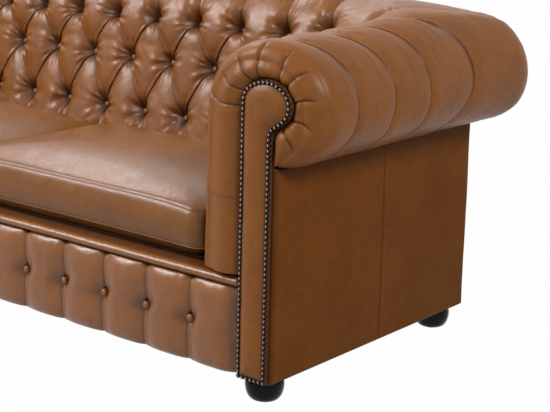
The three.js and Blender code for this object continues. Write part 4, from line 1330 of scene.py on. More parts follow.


# Rise of a facing from its edge inwards: inset, how far it stands before the front plane, and painted shade,
# darkest in the groove by the nails
FACING_PROFILE = (
    (0.0, -FRONT_PAD, 0.9),
    (0.0, 0.0040, 0.85),
    (0.0006, 0.0058, 0.8),
    (0.0016, 0.0070, 0.8),
    (0.003, 0.0075, 0.9),
    (0.005, 0.0075, 0.9),
    (0.008, 0.0084, 0.6),
    (0.012, 0.0110, 0.15),
    (0.018, 0.0141, 0.0),
    (0.025, 0.0164, 0.0),
    (0.031, 0.0174, 0.0),
    (0.0355, 0.0177, 0.0),
)
FACING_LUMPS = (0.0006, 0.045, 11)
NAIL_INSET = 0.005
NAIL_PROUD = 0.0076


def keyhole(inset):
    """Closed outline of an arm facing, drawn in by inset: out and height."""
    curve = keyhole_curve()
    along = np.gradient(curve, axis=0)
    along /= np.linalg.norm(along, axis=1, keepdims=True)
    curve = curve + inset * np.stack([along[:, 1], -along[:, 0]], axis=-1)
    left, right = -STEM_LEFT + inset, -STEM_RIGHT - inset
    curve[0], curve[-1] = (left, HEAD_HIGH), (right, NECK_HIGH)
    foot = BODY_BOTTOM + inset
    rise = np.linspace((left, foot), curve[0], STEM_STEPS + 1)[:-1]
    fall = np.linspace(curve[-1], (right, foot), STEM_STEPS + 1)[1:]
    sole = np.linspace(fall[-1], (left, foot), FOOT_STEPS + 1)[1:-1]
    return np.concatenate([rise, curve, fall, sole])


class SOFA_OT_arm_facings(bpy.types.Operator):
    """Padded keyhole facings with their rows of dome nails"""

    bl_idname = "sofa.arm_facings"
    bl_label = "Arm facings"

    def execute(self, context):
        insets, proud, dark = np.array(FACING_PROFILE).T
        outlines = np.array([keyhole(inset) for inset in insets])
        rings = points_at(HALF + outlines[..., 0], FRONT - proud[:, None], outlines[..., 1])
        padded = insets >= NAIL_INSET
        rings[padded, :, 1] += uneven(rings, FACING_LUMPS)[padded]
        fold = np.repeat(dark, rings.shape[1])
        right = shell("facing_leather_right", rings, fold, MATERIALS["leather"])
        settle_pair(right, "facing_leather", "leather", "arm_facing")

        size = sizes()
        line = keyhole(NAIL_INSET)
        line = np.concatenate([line, line[:1]])
        around = distances(line)[-1]
        count = round(around / size.nail_pitch)
        out, z = points_along(line, np.arange(count) * around / count).T
        points = points_at(HALF + out, FRONT - NAIL_PROUD, z)
        directions = np.tile(FORWARD, (count, 1))
        shape = (size.nail_width, size.nail_rise, DOME_FACETS)
        for side, sign in SIDES:
            made = domes(f"nails_{side}", points * sign, directions, *shape, MATERIALS["nails"])
            settle(made, "nails", f"nail_trim_{side}")
        return {"FINISHED"}


def slab(name, across, up, surface, thick, material):
    """A panel from a grid of its face: surface gives points and painted shade, and thick leads back."""
    a, u = np.meshgrid(across, up, indexing="ij")
    points, fold = surface(a, u)
    back = points + np.asarray(thick)
    ring = np.concatenate([points[:, 0], points[-1, 1:], points[-2::-1, -1], points[0, -2:0:-1]])
    rear = np.concatenate([back[:, 0], back[-1, 1:], back[-2::-1, -1], back[0, -2:0:-1]])
    patches = Patches()
    patches.add_grid(points, fold)
    # The edges and the back get a little painted shade.
    patches.add_grid(np.array([ring, rear]), np.full(2 * len(ring), 0.3), closed=True)
    return close_up(patches.build(name, material))


def edge_steps(low, high, count, soft):
    """Evenly spaced values with a few more close to both ends, where an edge is rounded."""
    near = soft * np.array((0, 0.12, 0.35, 0.65, 1.0))
    return np.unique(np.concatenate([low + near, np.linspace(low + soft, high - soft, count), high - near]))


def edge_round(values, low, high, soft):
    """How far a rounded edge falls back, for values between low and high."""
    near = np.clip(1 - np.minimum(values - low, high - values) / soft, 0, 1)
    return soft * (1 - np.sqrt(1 - near**2))


# Outside leather: rounding of its edges, width of the calm strip along them, and its seams
PANEL_SOFT = 0.006
PANEL_CALM = 0.05
SEAM_DEPTH = 0.0016
SEAM_WIDTH = 0.0016
SEAM_LINE = 0.0018
SEAM_STEPS = 0.0012 * np.arange(-8, 9)
ARM_SEAM = FRONT + 0.380
ARM_WAVES = ((0.0011, 0.16, 21), (0.0004, 0.04, 22))
BACK_WAVES = ((0.0013, 0.2, 23), (0.0004, 0.05, 24))
OUTSIDE_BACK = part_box("outside_back")
BACK_SEAMS = (OUTSIDE_BACK[0].x / 3, OUTSIDE_BACK[1].x / 3)


def stretched(points, box, along, beside, seam, waves):
    """Leather stretched over card, and its painted shade in the seams and where it goes in under the roll.
    It is drawn in from its plane at the edges, at a seam of that depth and by its waves. along is the axis
    that the panel runs along."""
    low, high = box
    run, z = points[..., along], points[..., 2]
    edges = edge_round(run, low[along], high[along], PANEL_SOFT) + edge_round(z, low.z, high.z, PANEL_SOFT)
    calm = smooth(np.minimum(z - low.z, high.z - z) / PANEL_CALM)
    waves = uneven(points, *waves)
    for inwards in (np.minimum(edges, PANEL_SOFT), seam * calm, waves * calm):
        points[..., 1 - along] -= inwards
    return points, np.maximum(0.8 * crease(beside, SEAM_LINE), 0.75 * smooth(1 - (high.z - z) / 0.02))


def outside_arm(y, z):
    """Face of an outside arm. Its seam is lapped, so the leather behind it stands a little higher."""
    beside = y - ARM_SEAM
    seam = SEAM_DEPTH * crease(beside, SEAM_WIDTH) - 0.0009 * bell(beside - 0.006, 0.005)
    points, dark = stretched(points_at(HALF, y, z), PANEL, 1, beside, seam, ARM_WAVES)
    # Painted shade along the front edge, where the panel meets the facing.
    return points, np.maximum(dark, 0.45 * smooth(1 - (y - FRONT) / 0.012))


def outside_back(x, z):
    beside = np.minimum(*[np.abs(x - seam) for seam in BACK_SEAMS])
    seam = SEAM_DEPTH * crease(beside, SEAM_WIDTH)
    return stretched(points_at(x, BACK, z), OUTSIDE_BACK, 0, beside, seam, BACK_WAVES)


def panel_steps(low, high, count, seams):
    """Steps along a panel, finer at its edges and seams."""
    near = [seam + SEAM_STEPS for seam in seams]
    return np.unique(np.concatenate([edge_steps(low, high, count, PANEL_SOFT), *near]))


class SOFA_OT_outside_panels(bpy.types.Operator):
    """Outside leather of the arms and the back, stretched flat over card"""

    bl_idname = "sofa.outside_panels"
    bl_label = "Outside panels"

    def execute(self, context):
        inwards = -PANEL_THICK + PANEL_SOFT
        up = edge_steps(BODY_BOTTOM, PANEL_TOP, 46, PANEL_SOFT)
        across = panel_steps(FRONT, BACK, 70, [ARM_SEAM])
        name = "outside_arm_leather"
        right = slab(f"{name}_right", across, up, outside_arm, (inwards, 0, 0), MATERIALS["outside"])
        settle_pair(right, name, "outside_leather", "outside_arm")
        across = panel_steps(OUTSIDE_BACK[0].x, OUTSIDE_BACK[1].x, 150, BACK_SEAMS)
        name = "outside_back_leather"
        made = slab(name, across, up, outside_back, (0, inwards, 0), MATERIALS["outside"])
        settle(made, "outside_leather", "outside_back")
        return {"FINISHED"}


# Front border, under the lip of the front rail: its pleats are columns, counted from the middle
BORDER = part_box("front_border")
BORDER_TOP = BORDER[1].z
BORDER_PITCH = 0.127
BORDER_BUTTONS = 13
BORDER_BUTTON_HIGH = 0.150
BORDER_BUTTON_RISE = 0.0070
BORDER_BUTTON_FACETS = 16
BORDER_END = (BORDER_BUTTONS + 1) / 2
BORDER_STEPS = 30
# A pleat's swell, its lap over the one beside it, and the twist that its button gives the fold
BORDER_SWELL = 0.056
BORDER_LAP = 0.0035
BORDER_DEPTH = 0.0185
BORDER_TWIST = 0.007
BORDER_TWIST_HIGH = 0.014
# How far round a button the leather is drawn in and puckers
BORDER_DRAW = (0.009, 0.018)
BORDER_PUCKER = (0.0018, 0.012, 31)
BORDER_WAVES = (0.0012, 0.05, 32)
BORDER_LINE = 0.0036


def border_x(column):
    """Where a column of the border lies. The last one reaches the end of the border."""
    last = BORDER_END - 1
    far = np.abs(column) - last
    end = np.sign(column) * mix(last * BORDER_PITCH, BORDER[1].x, far)
    return np.where(far > 0, end, column * BORDER_PITCH)


def border_face(column, z):
    """Face of the front border and its painted shade."""
    above, below = BORDER_TOP - z, z - BODY_BOTTOM
    share = below / (BORDER_TOP - BODY_BOTTOM)
    swell = np.sqrt(np.clip(np.sin(math.pi * np.clip(share, 0, 1)), 0, 1))
    inner = smooth((BORDER_END - np.abs(column)) / 0.3)
    number = np.round(column)
    beside = (column - number) * BORDER_PITCH
    rise, drawn = lapped(-beside, BORDER_SWELL, BORDER_LAP, power=0.75)
    depth = BORDER_DEPTH * (1 - rise) * mix(0.35, 1, swell)

    # The button draws the leather in, wider on the side that is lapped over.
    lift = z - BORDER_BUTTON_HIGH
    far = np.hypot(np.where(beside < 0, 0.6, 1.1) * beside, lift)
    draw = (np.abs(number) < BORDER_END) * bell(far, BORDER_DRAW[1])
    depth = depth + BORDER_DRAW[0] * draw
    twist = BORDER_TWIST * np.tanh(lift / BORDER_TWIST_HIGH) * bell(lift / BORDER_TWIST_HIGH, 3.2)
    x = border_x(column) + (drawn + twist) * inner * smooth(swell * 2)

    proud = 0.006 + 0.007 * inner
    fall = edge_round(z, z - 1, BORDER_TOP, 0.045) + edge_round(z, BODY_BOTTOM, z + 1, 0.035)
    flat = points_at(x, FRONT - proud + 0.42 * fall + depth, z)
    gathered = np.exp(-above / 0.030) + 0.6 * np.exp(-below / 0.024) + 1.3 * bell(far, 0.03)
    pucker, waves = uneven(flat * (1, 1, 0.22), BORDER_PUCKER), uneven(flat, BORDER_WAVES)
    flat[..., 1] += pucker * gathered * smooth(20 * share) * smooth(20 * (1 - share))
    flat[..., 1] += waves * swell
    # The folds end a little higher at the bottom, and a little lower at the top.
    flat[..., 2] += 0.003 * crease(beside, 0.006) * smooth(1 - share * 6)
    flat[..., 2] -= 0.006 * bell(beside, 0.010) * smooth(share * 6 - 5) * inner
    # Painted shade: in the pleat lines, in the pit round each button and under the lip.
    under_lip = 0.55 * smooth(1 - (BORDER_TOP - flat[..., 2]) / 0.006)
    dark = np.maximum(0.8 * crease(beside, BORDER_LINE) + 0.7 * draw, under_lip)
    return flat, np.clip(dark, 0, 1)


class SOFA_OT_front_border(bpy.types.Operator):
    """Front border: vertical pleats, each lapped over the one to its left and held by a button"""

    bl_idname = "sofa.front_border"
    bl_label = "Front border"

    def execute(self, context):
        count = round(2 * BORDER_END * BORDER_STEPS) + 1
        columns = graded(-BORDER_END + np.arange(count) / BORDER_STEPS)
        at_buttons = BORDER_BUTTON_HIGH + np.linspace(-0.02, 0.02, 17)
        up = np.unique(np.concatenate([edge_steps(BODY_BOTTOM, BORDER_TOP, 34, 0.008), at_buttons]))
        thick = (0, FRONT_PAD - 0.004, 0)
        made = slab("front_border_leather", columns, up, border_face, thick, MATERIALS["front"])
        settle(made, "leather", "front_border")

        across = (np.arange(BORDER_BUTTONS) - (BORDER_BUTTONS - 1) / 2) * BORDER_PITCH + 0.001
        points = points_at(across, FRONT + 0.0015, BORDER_BUTTON_HIGH)
        directions = np.tile(FORWARD, (BORDER_BUTTONS, 1))
        shape = (sizes().button_width, BORDER_BUTTON_RISE, BORDER_BUTTON_FACETS)
        settle(domes("border_buttons", points, directions, *shape, MATERIALS["front"]), "leather")
        return {"FINISHED"}


# Front lip, a roll over the front rail: how full its nose is, and how far it stands out
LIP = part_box("front_lip")
LIP_STEPS = 300
NOSE_SHARE = 0.74
NOSE_FULL = 0.8
NOSE_OUT = 0.005
NOSE_STEPS = 20
LIP_WAVES = ((0.0016, 0.045, 41), (0.0009, 0.012, 42))
# Painted shade in the seam under the nose, on top behind it in the gap under the cushions, and on the hidden
# back
LIP_SEAM_DARK = 0.8
LIP_DARK = (0.25, 0.6, 0.8, 0.8, 0.8, 0.8)


class SOFA_OT_front_lip(bpy.types.Operator):
    """Padded nosing over the front rail, with the seam under it"""

    bl_idname = "sofa.front_lip"
    bl_label = "Front lip"

    def execute(self, context):
        low, high = LIP
        seam = BORDER_TOP + GAP
        crown = mix(seam, high.z, NOSE_SHARE)
        middle, radius = (seam + crown) / 2, (crown - seam) / 2
        deep = NOSE_FULL * radius
        angle = np.linspace(-math.pi / 2, math.pi / 2, NOSE_STEPS + 1)
        nose_y = FRONT + deep - (deep + NOSE_OUT) * np.cos(angle)
        nose_z = middle + radius * np.sin(angle)
        inner = FRONT + FRONT_PAD + GAP
        top = [(mix(nose_y[-1], high.y, t), mix(crown, high.z, smooth(t))) for t in (0.15, 0.35, 0.6, 1.0)]
        profile = np.array([(inner, low.z), (inner, seam), *zip(nose_y, nose_z), *top, (high.y, low.z)])
        nose = np.zeros(len(profile))
        nose[3 : NOSE_STEPS + 2] = np.sin(np.linspace(0, math.pi, NOSE_STEPS + 1))[1:-1]
        across = np.linspace(low.x, high.x, LIP_STEPS + 1)[:, None]
        points = points_at(across, profile[:, 0], profile[:, 1])
        points[..., 1] += uneven(points * (1, 0.6, 0.6), *LIP_WAVES) * nose
        dark = np.zeros(len(profile))
        dark[2:4] = LIP_SEAM_DARK
        dark[NOSE_STEPS + 2 :] = LIP_DARK
        made = shell("front_lip_leather", points, np.tile(dark, len(across)), MATERIALS["front"])
        settle(made, "leather", "front_lip")
        return {"FINISHED"}


# Seat cushions
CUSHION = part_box("cushion_right")
CUSHION_BOTTOM = CUSHION[0].z
CUSHION_CORNER = 0.042
CUSHION_CROWN = 0.040
CUSHION_BULGE = 0.012
CUSHION_DROOP = 0.016
CUSHION_PULL = 0.004
CUSHION_SPREAD = 0.002
CUSHION_STEP = 0.0085
CUSHION_EDGE = 0.012
CUSHION_CAP = 0.006
BAND_EDGE = 0.008
BAND_RINGS = 9
OUTLINE_STEPS = 120
# Heights of the two seams, half their width and how deep they lie
SEAM_LOW = 0.297
SEAM_HIGH = 0.387
SEAM_HALF = 0.0014
SEAM_SUNK = 0.0016
# Stitches beside the lower seam. Real thread is about 1 mm thick, and is drawn thicker, so that it still
# shows in the render.
STITCH_ABOVE = 0.0036
STITCH_THREAD = 0.0019
STITCH_LIFT = 0.0003
# Plan of the right cushion at its seams
PLAN_FRONT = CUSHION[0].y + CUSHION_BULGE
PLAN_WIDE = CUSHION[1].x - CUSHION[0].x
PLAN_DEEP = CUSHION[1].y - PLAN_FRONT
PLAN_MIDDLE = np.array(((CUSHION[0].x + CUSHION[1].x) / 2, (PLAN_FRONT + CUSHION[1].y) / 2))


def cushion_plan(p, q):
    """Rounded rectangle with drawn-in sides, for points p, q on the edge of the unit square."""
    x, y = p * PLAN_WIDE / 2, q * PLAN_DEEP / 2
    cx = np.sign(p) * (PLAN_WIDE / 2 - CUSHION_CORNER)
    cy = np.sign(q) * (PLAN_DEEP / 2 - CUSHION_CORNER)
    in_corner = (np.abs(x) > np.abs(cx)) & (np.abs(y) > np.abs(cy))
    angle = np.arctan2(y - cy, x - cx)
    round_x, round_y = cx + CUSHION_CORNER * np.cos(angle), cy + CUSHION_CORNER * np.sin(angle)
    pull_x, pull_y = CUSHION_PULL * (1 - q**2), CUSHION_PULL * (1 - p**2)
    flat_x = np.where(np.abs(p) >= 1, x - np.sign(p) * pull_x, x)
    flat_y = np.where(np.abs(q) >= 1, y - np.sign(q) * pull_y, y)
    return np.where(in_corner, round_x, flat_x), np.where(in_corner, round_y, flat_y)


def cushion_outline():
    """Outline of the right cushion at its seams: points across and along."""
    side = np.linspace(-1, 1, OUTLINE_STEPS, endpoint=False)
    one = np.ones_like(side)
    plan = cushion_plan(np.concatenate([side, one, -side, -one]), np.concatenate([-one, side, one, -side]))
    return PLAN_MIDDLE + np.stack(plan, axis=-1)


def lay_on(made, outline, z, lift):
    """Points of an outline at a height, laid on the surface of a piece."""
    laid = []
    for x, y in outline:
        _, at, normal, _ = made.closest_point_on_mesh(Vector((x, y, z)))
        laid.append(at + normal * lift)
    return np.array(laid)


def cushion_steps(size):
    """Steps across a face of the cushion, from -1 to 1, with a narrow one at each seam."""
    edge, near = CUSHION_EDGE / size, 2 * SEAM_HALF / size
    inner = np.linspace(-1 + edge, 1 - edge, round(size / CUSHION_STEP) - 1)
    return np.concatenate([[-1, -1 + near], inner, [1 - near, 1]])


def cushion_faces():
    """Grids of the crowned top and of the sole, which is flat inside its seam."""
    p, q = np.meshgrid(cushion_steps(PLAN_WIDE), cushion_steps(PLAN_DEEP), indexing="ij")
    m = np.maximum(np.abs(p), np.abs(q))
    rim_x, rim_y = cushion_plan(p / np.maximum(m, 1e-9), q / np.maximum(m, 1e-9))
    x = mix(p * PLAN_WIDE / 2, m * rim_x, m**6)
    y = mix(q * PLAN_DEEP / 2, m * rim_y, m**6)
    across, along = (2 * x / PLAN_WIDE) ** 2, (2 * y / PLAN_DEEP) ** 2
    rise = CUSHION_CROWN * np.clip(1 - m**3, 0, 1) ** 0.62 * (1 - 0.3 * across) * (1 - 0.3 * along)
    droop = CUSHION_DROOP * (across * along) ** 3
    low_droop = droop * (SEAM_LOW - CUSHION_BOTTOM) / (SEAM_HIGH - CUSHION_BOTTOM)
    drop = (SEAM_LOW - CUSHION_BOTTOM - low_droop) * smooth((1 - m) / 0.12)
    place = (PLAN_MIDDLE[0] + x, PLAN_MIDDLE[1] + y)
    return points_at(*place, SEAM_HIGH + rise - droop), points_at(*place, SEAM_LOW - low_droop - drop)


def rim_of(rows, columns):
    """Rows and columns of the points round the edge of a grid."""
    rim = [(i, 0) for i in range(rows)]
    rim += [(rows - 1, j) for j in range(1, columns)]
    rim += [(i, columns - 1) for i in range(rows - 2, -1, -1)]
    rim += [(0, j) for j in range(columns - 2, 0, -1)]
    return tuple(np.array(rim).T)


def cushion_mesh():
    """The right cushion before it is filled: top, sole and the boxing band between them. The seams are
    marked in what the pads keep as their painted shade, and so take painted shade in their grooves."""
    top, sole = cushion_faces()
    rim = rim_of(*top.shape[:2])
    inner = np.linspace(SEAM_LOW + BAND_EDGE, SEAM_HIGH - BAND_EDGE, BAND_RINGS)
    band = [sole[rim]]
    for level in (SEAM_LOW + SEAM_HALF, *inner, SEAM_HIGH - SEAM_HALF):
        t = (level - SEAM_LOW) / (SEAM_HIGH - SEAM_LOW)
        ring = mix(sole[rim], top[rim], t)
        belly = math.sin(math.pi * t) ** 0.6
        off_x, off_y = (ring[:, :2] - PLAN_MIDDLE).T
        ring[:, 1] -= CUSHION_BULGE * belly * smooth(-2 * off_y / PLAN_DEEP)
        ring[:, 0] += CUSHION_SPREAD * belly * np.sign(off_x) * smooth(np.abs(2 * off_x / PLAN_WIDE) * 3 - 2)
        band.append(ring)
    band = np.array([*band, top[rim]])
    patches = Patches()
    seam = np.zeros(top.shape[:2])
    seam[rim] = 1
    for face in (top, sole):
        patches.add_grid(face, seam)
    seams = np.zeros(band.shape[:2])
    seams[[0, -1]] = 1
    patches.add_grid(band, seams, closed=True)
    return patches


# How the filling strains the leather, for a short run of Cloth
HELD = "held"
FILLING = {
    "vertex_group_mass": HELD,
    "quality": 6,
    "mass": 0.5,
    "tension_stiffness": 30,
    "compression_stiffness": 30,
    "shear_stiffness": 12,
    "bending_stiffness": 4,
    "use_pressure": True,
    "uniform_pressure_force": 4,
    "shrink_min": -0.006,
}
FILLING_FRAMES = 20
SOLE_HELD = 0.004
CALM_ROUNDS = 14


def coordinates(mesh):
    co = np.empty(len(mesh.vertices) * 3)
    mesh.vertices.foreach_get("co", co)
    return co.reshape(-1, 3)


def seam_weights(mesh):
    """1 on the seams of a cushion, 0 elsewhere."""
    weights = np.empty(len(mesh.vertices), np.float32)
    mesh.attributes["fold"].data.foreach_get("value", weights)
    return weights


def calmed(mesh, move, rounds):
    """Evens out a movement of points over their neighbours, so that only broad forms stay."""
    edges = np.empty(len(mesh.edges) * 2, np.int32)
    mesh.edges.foreach_get("vertices", edges)
    first, second = edges.reshape(-1, 2).T
    count = np.bincount(edges, minlength=len(move))[:, None]
    for _ in range(rounds):
        total = np.zeros_like(move)
        np.add.at(total, first, move[second])
        np.add.at(total, second, move[first])
        move = mix(move, total / count, 0.6)
    return move


def fill_cushion(made):
    """Blows the cushion up a little with Cloth, so that its leather strains and wrinkles."""
    mesh = made.data
    start = coordinates(mesh)
    held = (seam_weights(mesh) > 0.5) | (start[:, 2] < CUSHION_BOTTOM + SOLE_HELD)
    made.vertex_groups.new(name=HELD).add(np.flatnonzero(held).tolist(), 1.0, "REPLACE")
    cloth = made.modifiers.new("Filling", "CLOTH")
    for name, value in FILLING.items():
        setattr(cloth.settings, name, value)
    cloth.settings.effector_weights.gravity = 0
    cloth.collision_settings.use_collision = False
    cloth.point_cache.frame_start = 1
    cloth.point_cache.frame_end = FILLING_FRAMES + 2
    scene = bpy.context.scene
    for number in range(1, FILLING_FRAMES + 1):
        scene.frame_set(number)
    filled = made.evaluated_get(bpy.context.evaluated_depsgraph_get())
    move = coordinates(filled.to_mesh()) - start
    filled.to_mesh_clear()
    made.modifiers.remove(cloth)
    scene.frame_set(1)
    far = np.linalg.norm(move, axis=1, keepdims=True)
    move *= np.minimum(1, CUSHION_CAP / np.maximum(far, 1e-9))
    mesh.vertices.foreach_set("co", (start + calmed(mesh, move, CALM_ROUNDS)).ravel())
    mesh.update()


def sink_seams(mesh):
    """Draws the seams in, so that they lie in a groove."""
    normals = np.array([vertex.normal for vertex in mesh.vertices])
    co = np.array([vertex.co for vertex in mesh.vertices])
    co -= normals * (SEAM_SUNK * seam_weights(mesh))[:, None]
    mesh.vertices.foreach_set("co", co.ravel())


class SOFA_OT_cushions(bpy.types.Operator):
    """Two loose seat cushions, boxed, crowned and filled"""

    bl_idname = "sofa.cushions"
    bl_label = "Seat cushions"

    def execute(self, context):
        right = close_up(cushion_mesh().build("cushion_leather_right", MATERIALS["cushion"]))
        fill_cushion(right)
        sink_seams(right.data)
        finer = right.modifiers.new("Finer", "SUBSURF")
        finer.levels = finer.render_levels = 1
        graph = bpy.context.evaluated_depsgraph_get()
        mesh = bpy.data.meshes.new_from_object(right.evaluated_get(graph))
        right.modifiers.remove(finer)
        right.data = mesh
        right.vertex_groups.clear()
        left = mirrored_copy(right, "cushion_leather_left")
        line = lay_on(right, cushion_outline(), SEAM_LOW + STITCH_ABOVE, STITCH_LIFT)
        for made, (side, sign) in zip((right, left), SIDES):
            settle(made, "cushion_leather", f"cushion_{side}", body=f"{side}_cushion")
            sewn = stitches(f"cushion_stitches_{side}", line * sign, STITCH_THREAD, MATERIALS["thread"])
            settle(sewn, "cushion_leather", body=f"{side}_cushion")
        return {"FINISHED"}


# Feet and frame
def lathe(name, profile, facets, material):
    """A profile of radius and height turned about Z, closed at both ends."""
    angle = np.linspace(0, 2 * math.pi, facets, endpoint=False)
    rings = np.array([[(r * math.cos(t), r * math.sin(t), z) for t in angle] for r, z in profile])
    return shell(name, rings, None, material)


# A bun foot: shares of its radius and height, and the bore for its stud
BUN_WIDEST = 0.66
BUN_SOLE = 0.55
BUN_SHOULDER = 0.8
BUN_NECK = 0.70
BUN_NECK_TALL = 0.12
BUN_FACETS = 56
BORE_RADIUS = 0.0055
BORE_DEPTH = 0.030
AXIS = 0.0005


def bun_profile(radius, low, high):
    """Radius and height of a bun foot, from the middle of its sole up to the bottom of its bore."""
    tall = high - low
    widest = low + BUN_WIDEST * tall
    bun = [
        (radius * (BUN_SOLE + (1 - BUN_SOLE) * math.cos(t)), widest + (widest - low) * math.sin(t))
        for t in np.linspace(-math.pi / 2, 0, 14)
    ]
    shoulder = [
        (radius * math.cos(t) ** 0.3, widest + BUN_SHOULDER * (high - widest) * math.sin(t))
        for t in np.linspace(0.15, 1.2, 8)
    ]
    neck = [(radius * BUN_NECK, high - BUN_NECK_TALL * tall), (radius * BUN_NECK, high)]
    bore = [(BORE_RADIUS, high), (BORE_RADIUS, high - BORE_DEPTH), (AXIS, high - BORE_DEPTH)]
    return [(AXIS, low), *bun, *shoulder, *neck, *bore]


class SOFA_OT_feet(bpy.types.Operator):
    """Turned bun feet in black lacquer"""

    bl_idname = "sofa.feet"
    bl_label = "Bun feet"

    def execute(self, context):
        for place in ("front", "rear"):
            for side in ("left", "right"):
                low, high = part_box(f"foot_{place}_{side}")
                middle = (low + high) / 2
                profile = bun_profile((high.y - low.y) / 2, low.z, high.z)
                made = lathe(f"bun_{place}_{side}", profile, BUN_FACETS, MATERIALS["lacquer"])
                made.data.transform(Matrix.Translation((middle.x, middle.y, 0)))
                settle(made, "black_lacquer", f"foot_{place}_{side}")
        return {"FINISHED"}


# Material for each slot of the frame
FINISHES = {
    "leather": "leather",
    "outside_leather": "outside",
    "cushion_leather": "cushion",
    "nails": "nails",
    "padding": "lining",
    "spring_steel": "steel",
    "frame_wood": "wood",
    "dust_cloth": "cambric",
    "black_lacquer": "lacquer",
    "glide_plastic": "plastic",
}


class SOFA_OT_frame_finishes(bpy.types.Operator):
    """Finishes of the pieces that stay as the frame has them: timber, springs, studs, platform"""

    bl_idname = "sofa.frame_finishes"
    bl_label = "Frame finishes"

    def execute(self, context):
        for part in frame["record"]["subparts"]:
            node = frame["nodes"][part["node"]]
            finish = MATERIALS[FINISHES[part["material_slot"]]]
            for slot in node.material_slots:
                slot.material = finish
        return {"FINISHED"}


def seen_directly(tree):
    """1 for camera rays and for what metal, gloss and glass show, else 0."""
    path = add_node(tree, "ShaderNodeLightPath").outputs
    seen = add_node(
        tree, "ShaderNodeMath", {0: path["Is Camera Ray"], 1: path["Is Glossy Ray"]}, operation="MAXIMUM"
    )
    return add_node(tree, "ShaderNodeMath", {0: seen, 1: path["Is Transmission Ray"]}, operation="MAXIMUM")


# The camera at the photograph's place: its turns in degrees, a long lens and the shift of the crop
CAMERA_PLACE = (2.721, -2.64675, 1.157)
CAMERA_ROUND = 40.64
CAMERA_DOWN = 11.22
CAMERA_ROLL = 0.90
CAMERA_LENS = 96.4
CAMERA_SENSOR = 36
CAMERA_SHIFT = (0.12, -0.15)
# Soft lamps, all turned to the middle of the sofa: place, size and power
LAMPS = {
    "Key light": ((-2.4, -2.6, 3.2), 2.0, 215),
    "Fill light": ((3.8, -1.2, 3.1), 1.2, 106),
    "Top light": ((-2.1, 0.8, 3.0), 0.9, 24),
    "Rear light": ((-1.8, 2.2, 2.8), 1.8, 9),
}
LAMP_AIM = (0.2, -0.1, 0.4)
WORLD_STRENGTH = 0.20
FLOOR_REACH = 12.0
# How white the floor shows itself. The rest is left to the sofa's shadow.
FLOOR_SHOWN = 0.985
WHITE = (1, 1, 1, 1)
GREY = (0.5, 0.5, 0.5, 1)


def place_camera(scene):
    data = bpy.data.cameras.new("Photo camera")
    data.lens = CAMERA_LENS
    data.sensor_width = CAMERA_SENSOR
    data.shift_x, data.shift_y = CAMERA_SHIFT
    camera = in_scene("Photo camera", data)
    turn = Matrix.Identity(3)
    for degrees, axis in ((CAMERA_ROUND, "Z"), (90 - CAMERA_DOWN, "X"), (CAMERA_ROLL, "Z")):
        turn = turn @ Matrix.Rotation(math.radians(degrees), 3, axis)
    camera.rotation_euler = turn.to_euler()
    camera.location = CAMERA_PLACE
    scene.camera = camera


def place_lamps():
    for name, (place, size, power) in LAMPS.items():
        lamp = bpy.data.lights.new(name, "AREA")
        lamp.size = size
        lamp.energy = power
        made = in_scene(name, lamp)
        made.location = place
        aim = Vector(LAMP_AIM) - Vector(place)
        made.rotation_euler = aim.to_track_quat("-Z", "Y").to_euler()


def white_world():
    """Soft light all round, seen as plain white."""
    world = bpy.data.worlds.new("White studio")
    world.use_nodes = True
    tree = world.node_tree
    tree.nodes.clear()
    seen = seen_directly(tree)
    soft = add_node(tree, "ShaderNodeBackground", {"Color": WHITE, "Strength": WORLD_STRENGTH})
    white = add_node(tree, "ShaderNodeBackground", {"Color": WHITE, "Strength": 1.0})
    sky = add_node(tree, "ShaderNodeMixShader", {0: seen, 1: soft, 2: white})
    add_node(tree, "ShaderNodeOutputWorld", {"Surface": sky})
    return world


def white_floor():
    """Matt grey paper for the light, seen as almost white, so that the sofa's shadow stays on it."""
    material, tree = new_material("White studio floor")
    diffuse = add_node(tree, "ShaderNodeBsdfDiffuse", {"Color": GREY})
    glow = add_node(tree, "ShaderNodeEmission", {"Color": WHITE, "Strength": 1.0})
    seen = seen_directly(tree)
    part = add_node(tree, "ShaderNodeMath", {0: seen, 1: FLOOR_SHOWN}, operation="MULTIPLY")
    surface = add_node(tree, "ShaderNodeMixShader", {0: part, 1: diffuse, 2: glow})
    return finished(material, surface)


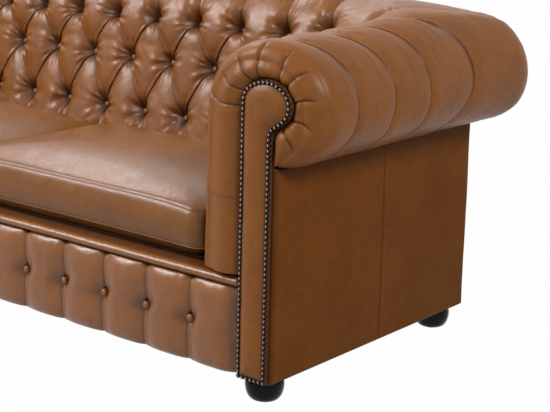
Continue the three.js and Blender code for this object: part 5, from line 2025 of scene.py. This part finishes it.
class SOFA_OT_stage(bpy.types.Operator):
    """Camera at the photograph's angle, soft studio light and a pale floor"""

    bl_idname = "sofa.stage"
    bl_label = "Stage"

    def execute(self, context):
        scene = context.scene
        scene.view_settings.view_transform = "Standard"
        place_camera(scene)
        place_lamps()
        scene.world = white_world()
        corners = [(x * FLOOR_REACH, y * FLOOR_REACH, 0) for x, y in ((-1, -1), (1, -1), (1, 1), (-1, 1))]
        new_object("floor", corners, [(0, 1, 2, 3)], white_floor(), smooth_shading=False)
        return {"FINISHED"}


class SOFA_PT_panel(bpy.types.Panel):
    """Everything that dresses the sofa"""

    bl_label = "Chesterfield sofa"
    bl_idname = "SOFA_PT_panel"
    bl_space_type = "VIEW_3D"
    bl_region_type = "UI"
    bl_category = "Sofa"

    def draw(self, context):
        for operator in OPERATORS:
            self.layout.operator(operator.bl_idname)
        for group in (context.scene.sofa_sizes, context.scene.sofa_colours):
            box = self.layout.box()
            for name in group.bl_rna.properties.keys():
                if name not in {"rna_type", "name"}:
                    box.prop(group, name)


GROUPS = (SofaSizes, SofaColours)
OPERATORS = (
    SOFA_OT_stage,
    SOFA_OT_inside_arms,
    SOFA_OT_inside_back,
    SOFA_OT_corner_buttons,
    SOFA_OT_arm_facings,
    SOFA_OT_outside_panels,
    SOFA_OT_front_border,
    SOFA_OT_front_lip,
    SOFA_OT_cushions,
    SOFA_OT_feet,
    SOFA_OT_frame_finishes,
)
CLASSES = (*GROUPS, *OPERATORS, SOFA_PT_panel)


def register():
    for one in CLASSES:
        bpy.utils.register_class(one)
    bpy.types.Scene.sofa_sizes = bpy.props.PointerProperty(type=SofaSizes)
    bpy.types.Scene.sofa_colours = bpy.props.PointerProperty(type=SofaColours)


def unregister():
    del bpy.types.Scene.sofa_colours
    del bpy.types.Scene.sofa_sizes
    for one in reversed(CLASSES):
        bpy.utils.unregister_class(one)


def main():
    register()
    make_materials()
    for operator in OPERATORS:
        group, name = operator.bl_idname.split(".")
        getattr(getattr(bpy.ops, group), name)()


if __name__ == "__main__":
    main()
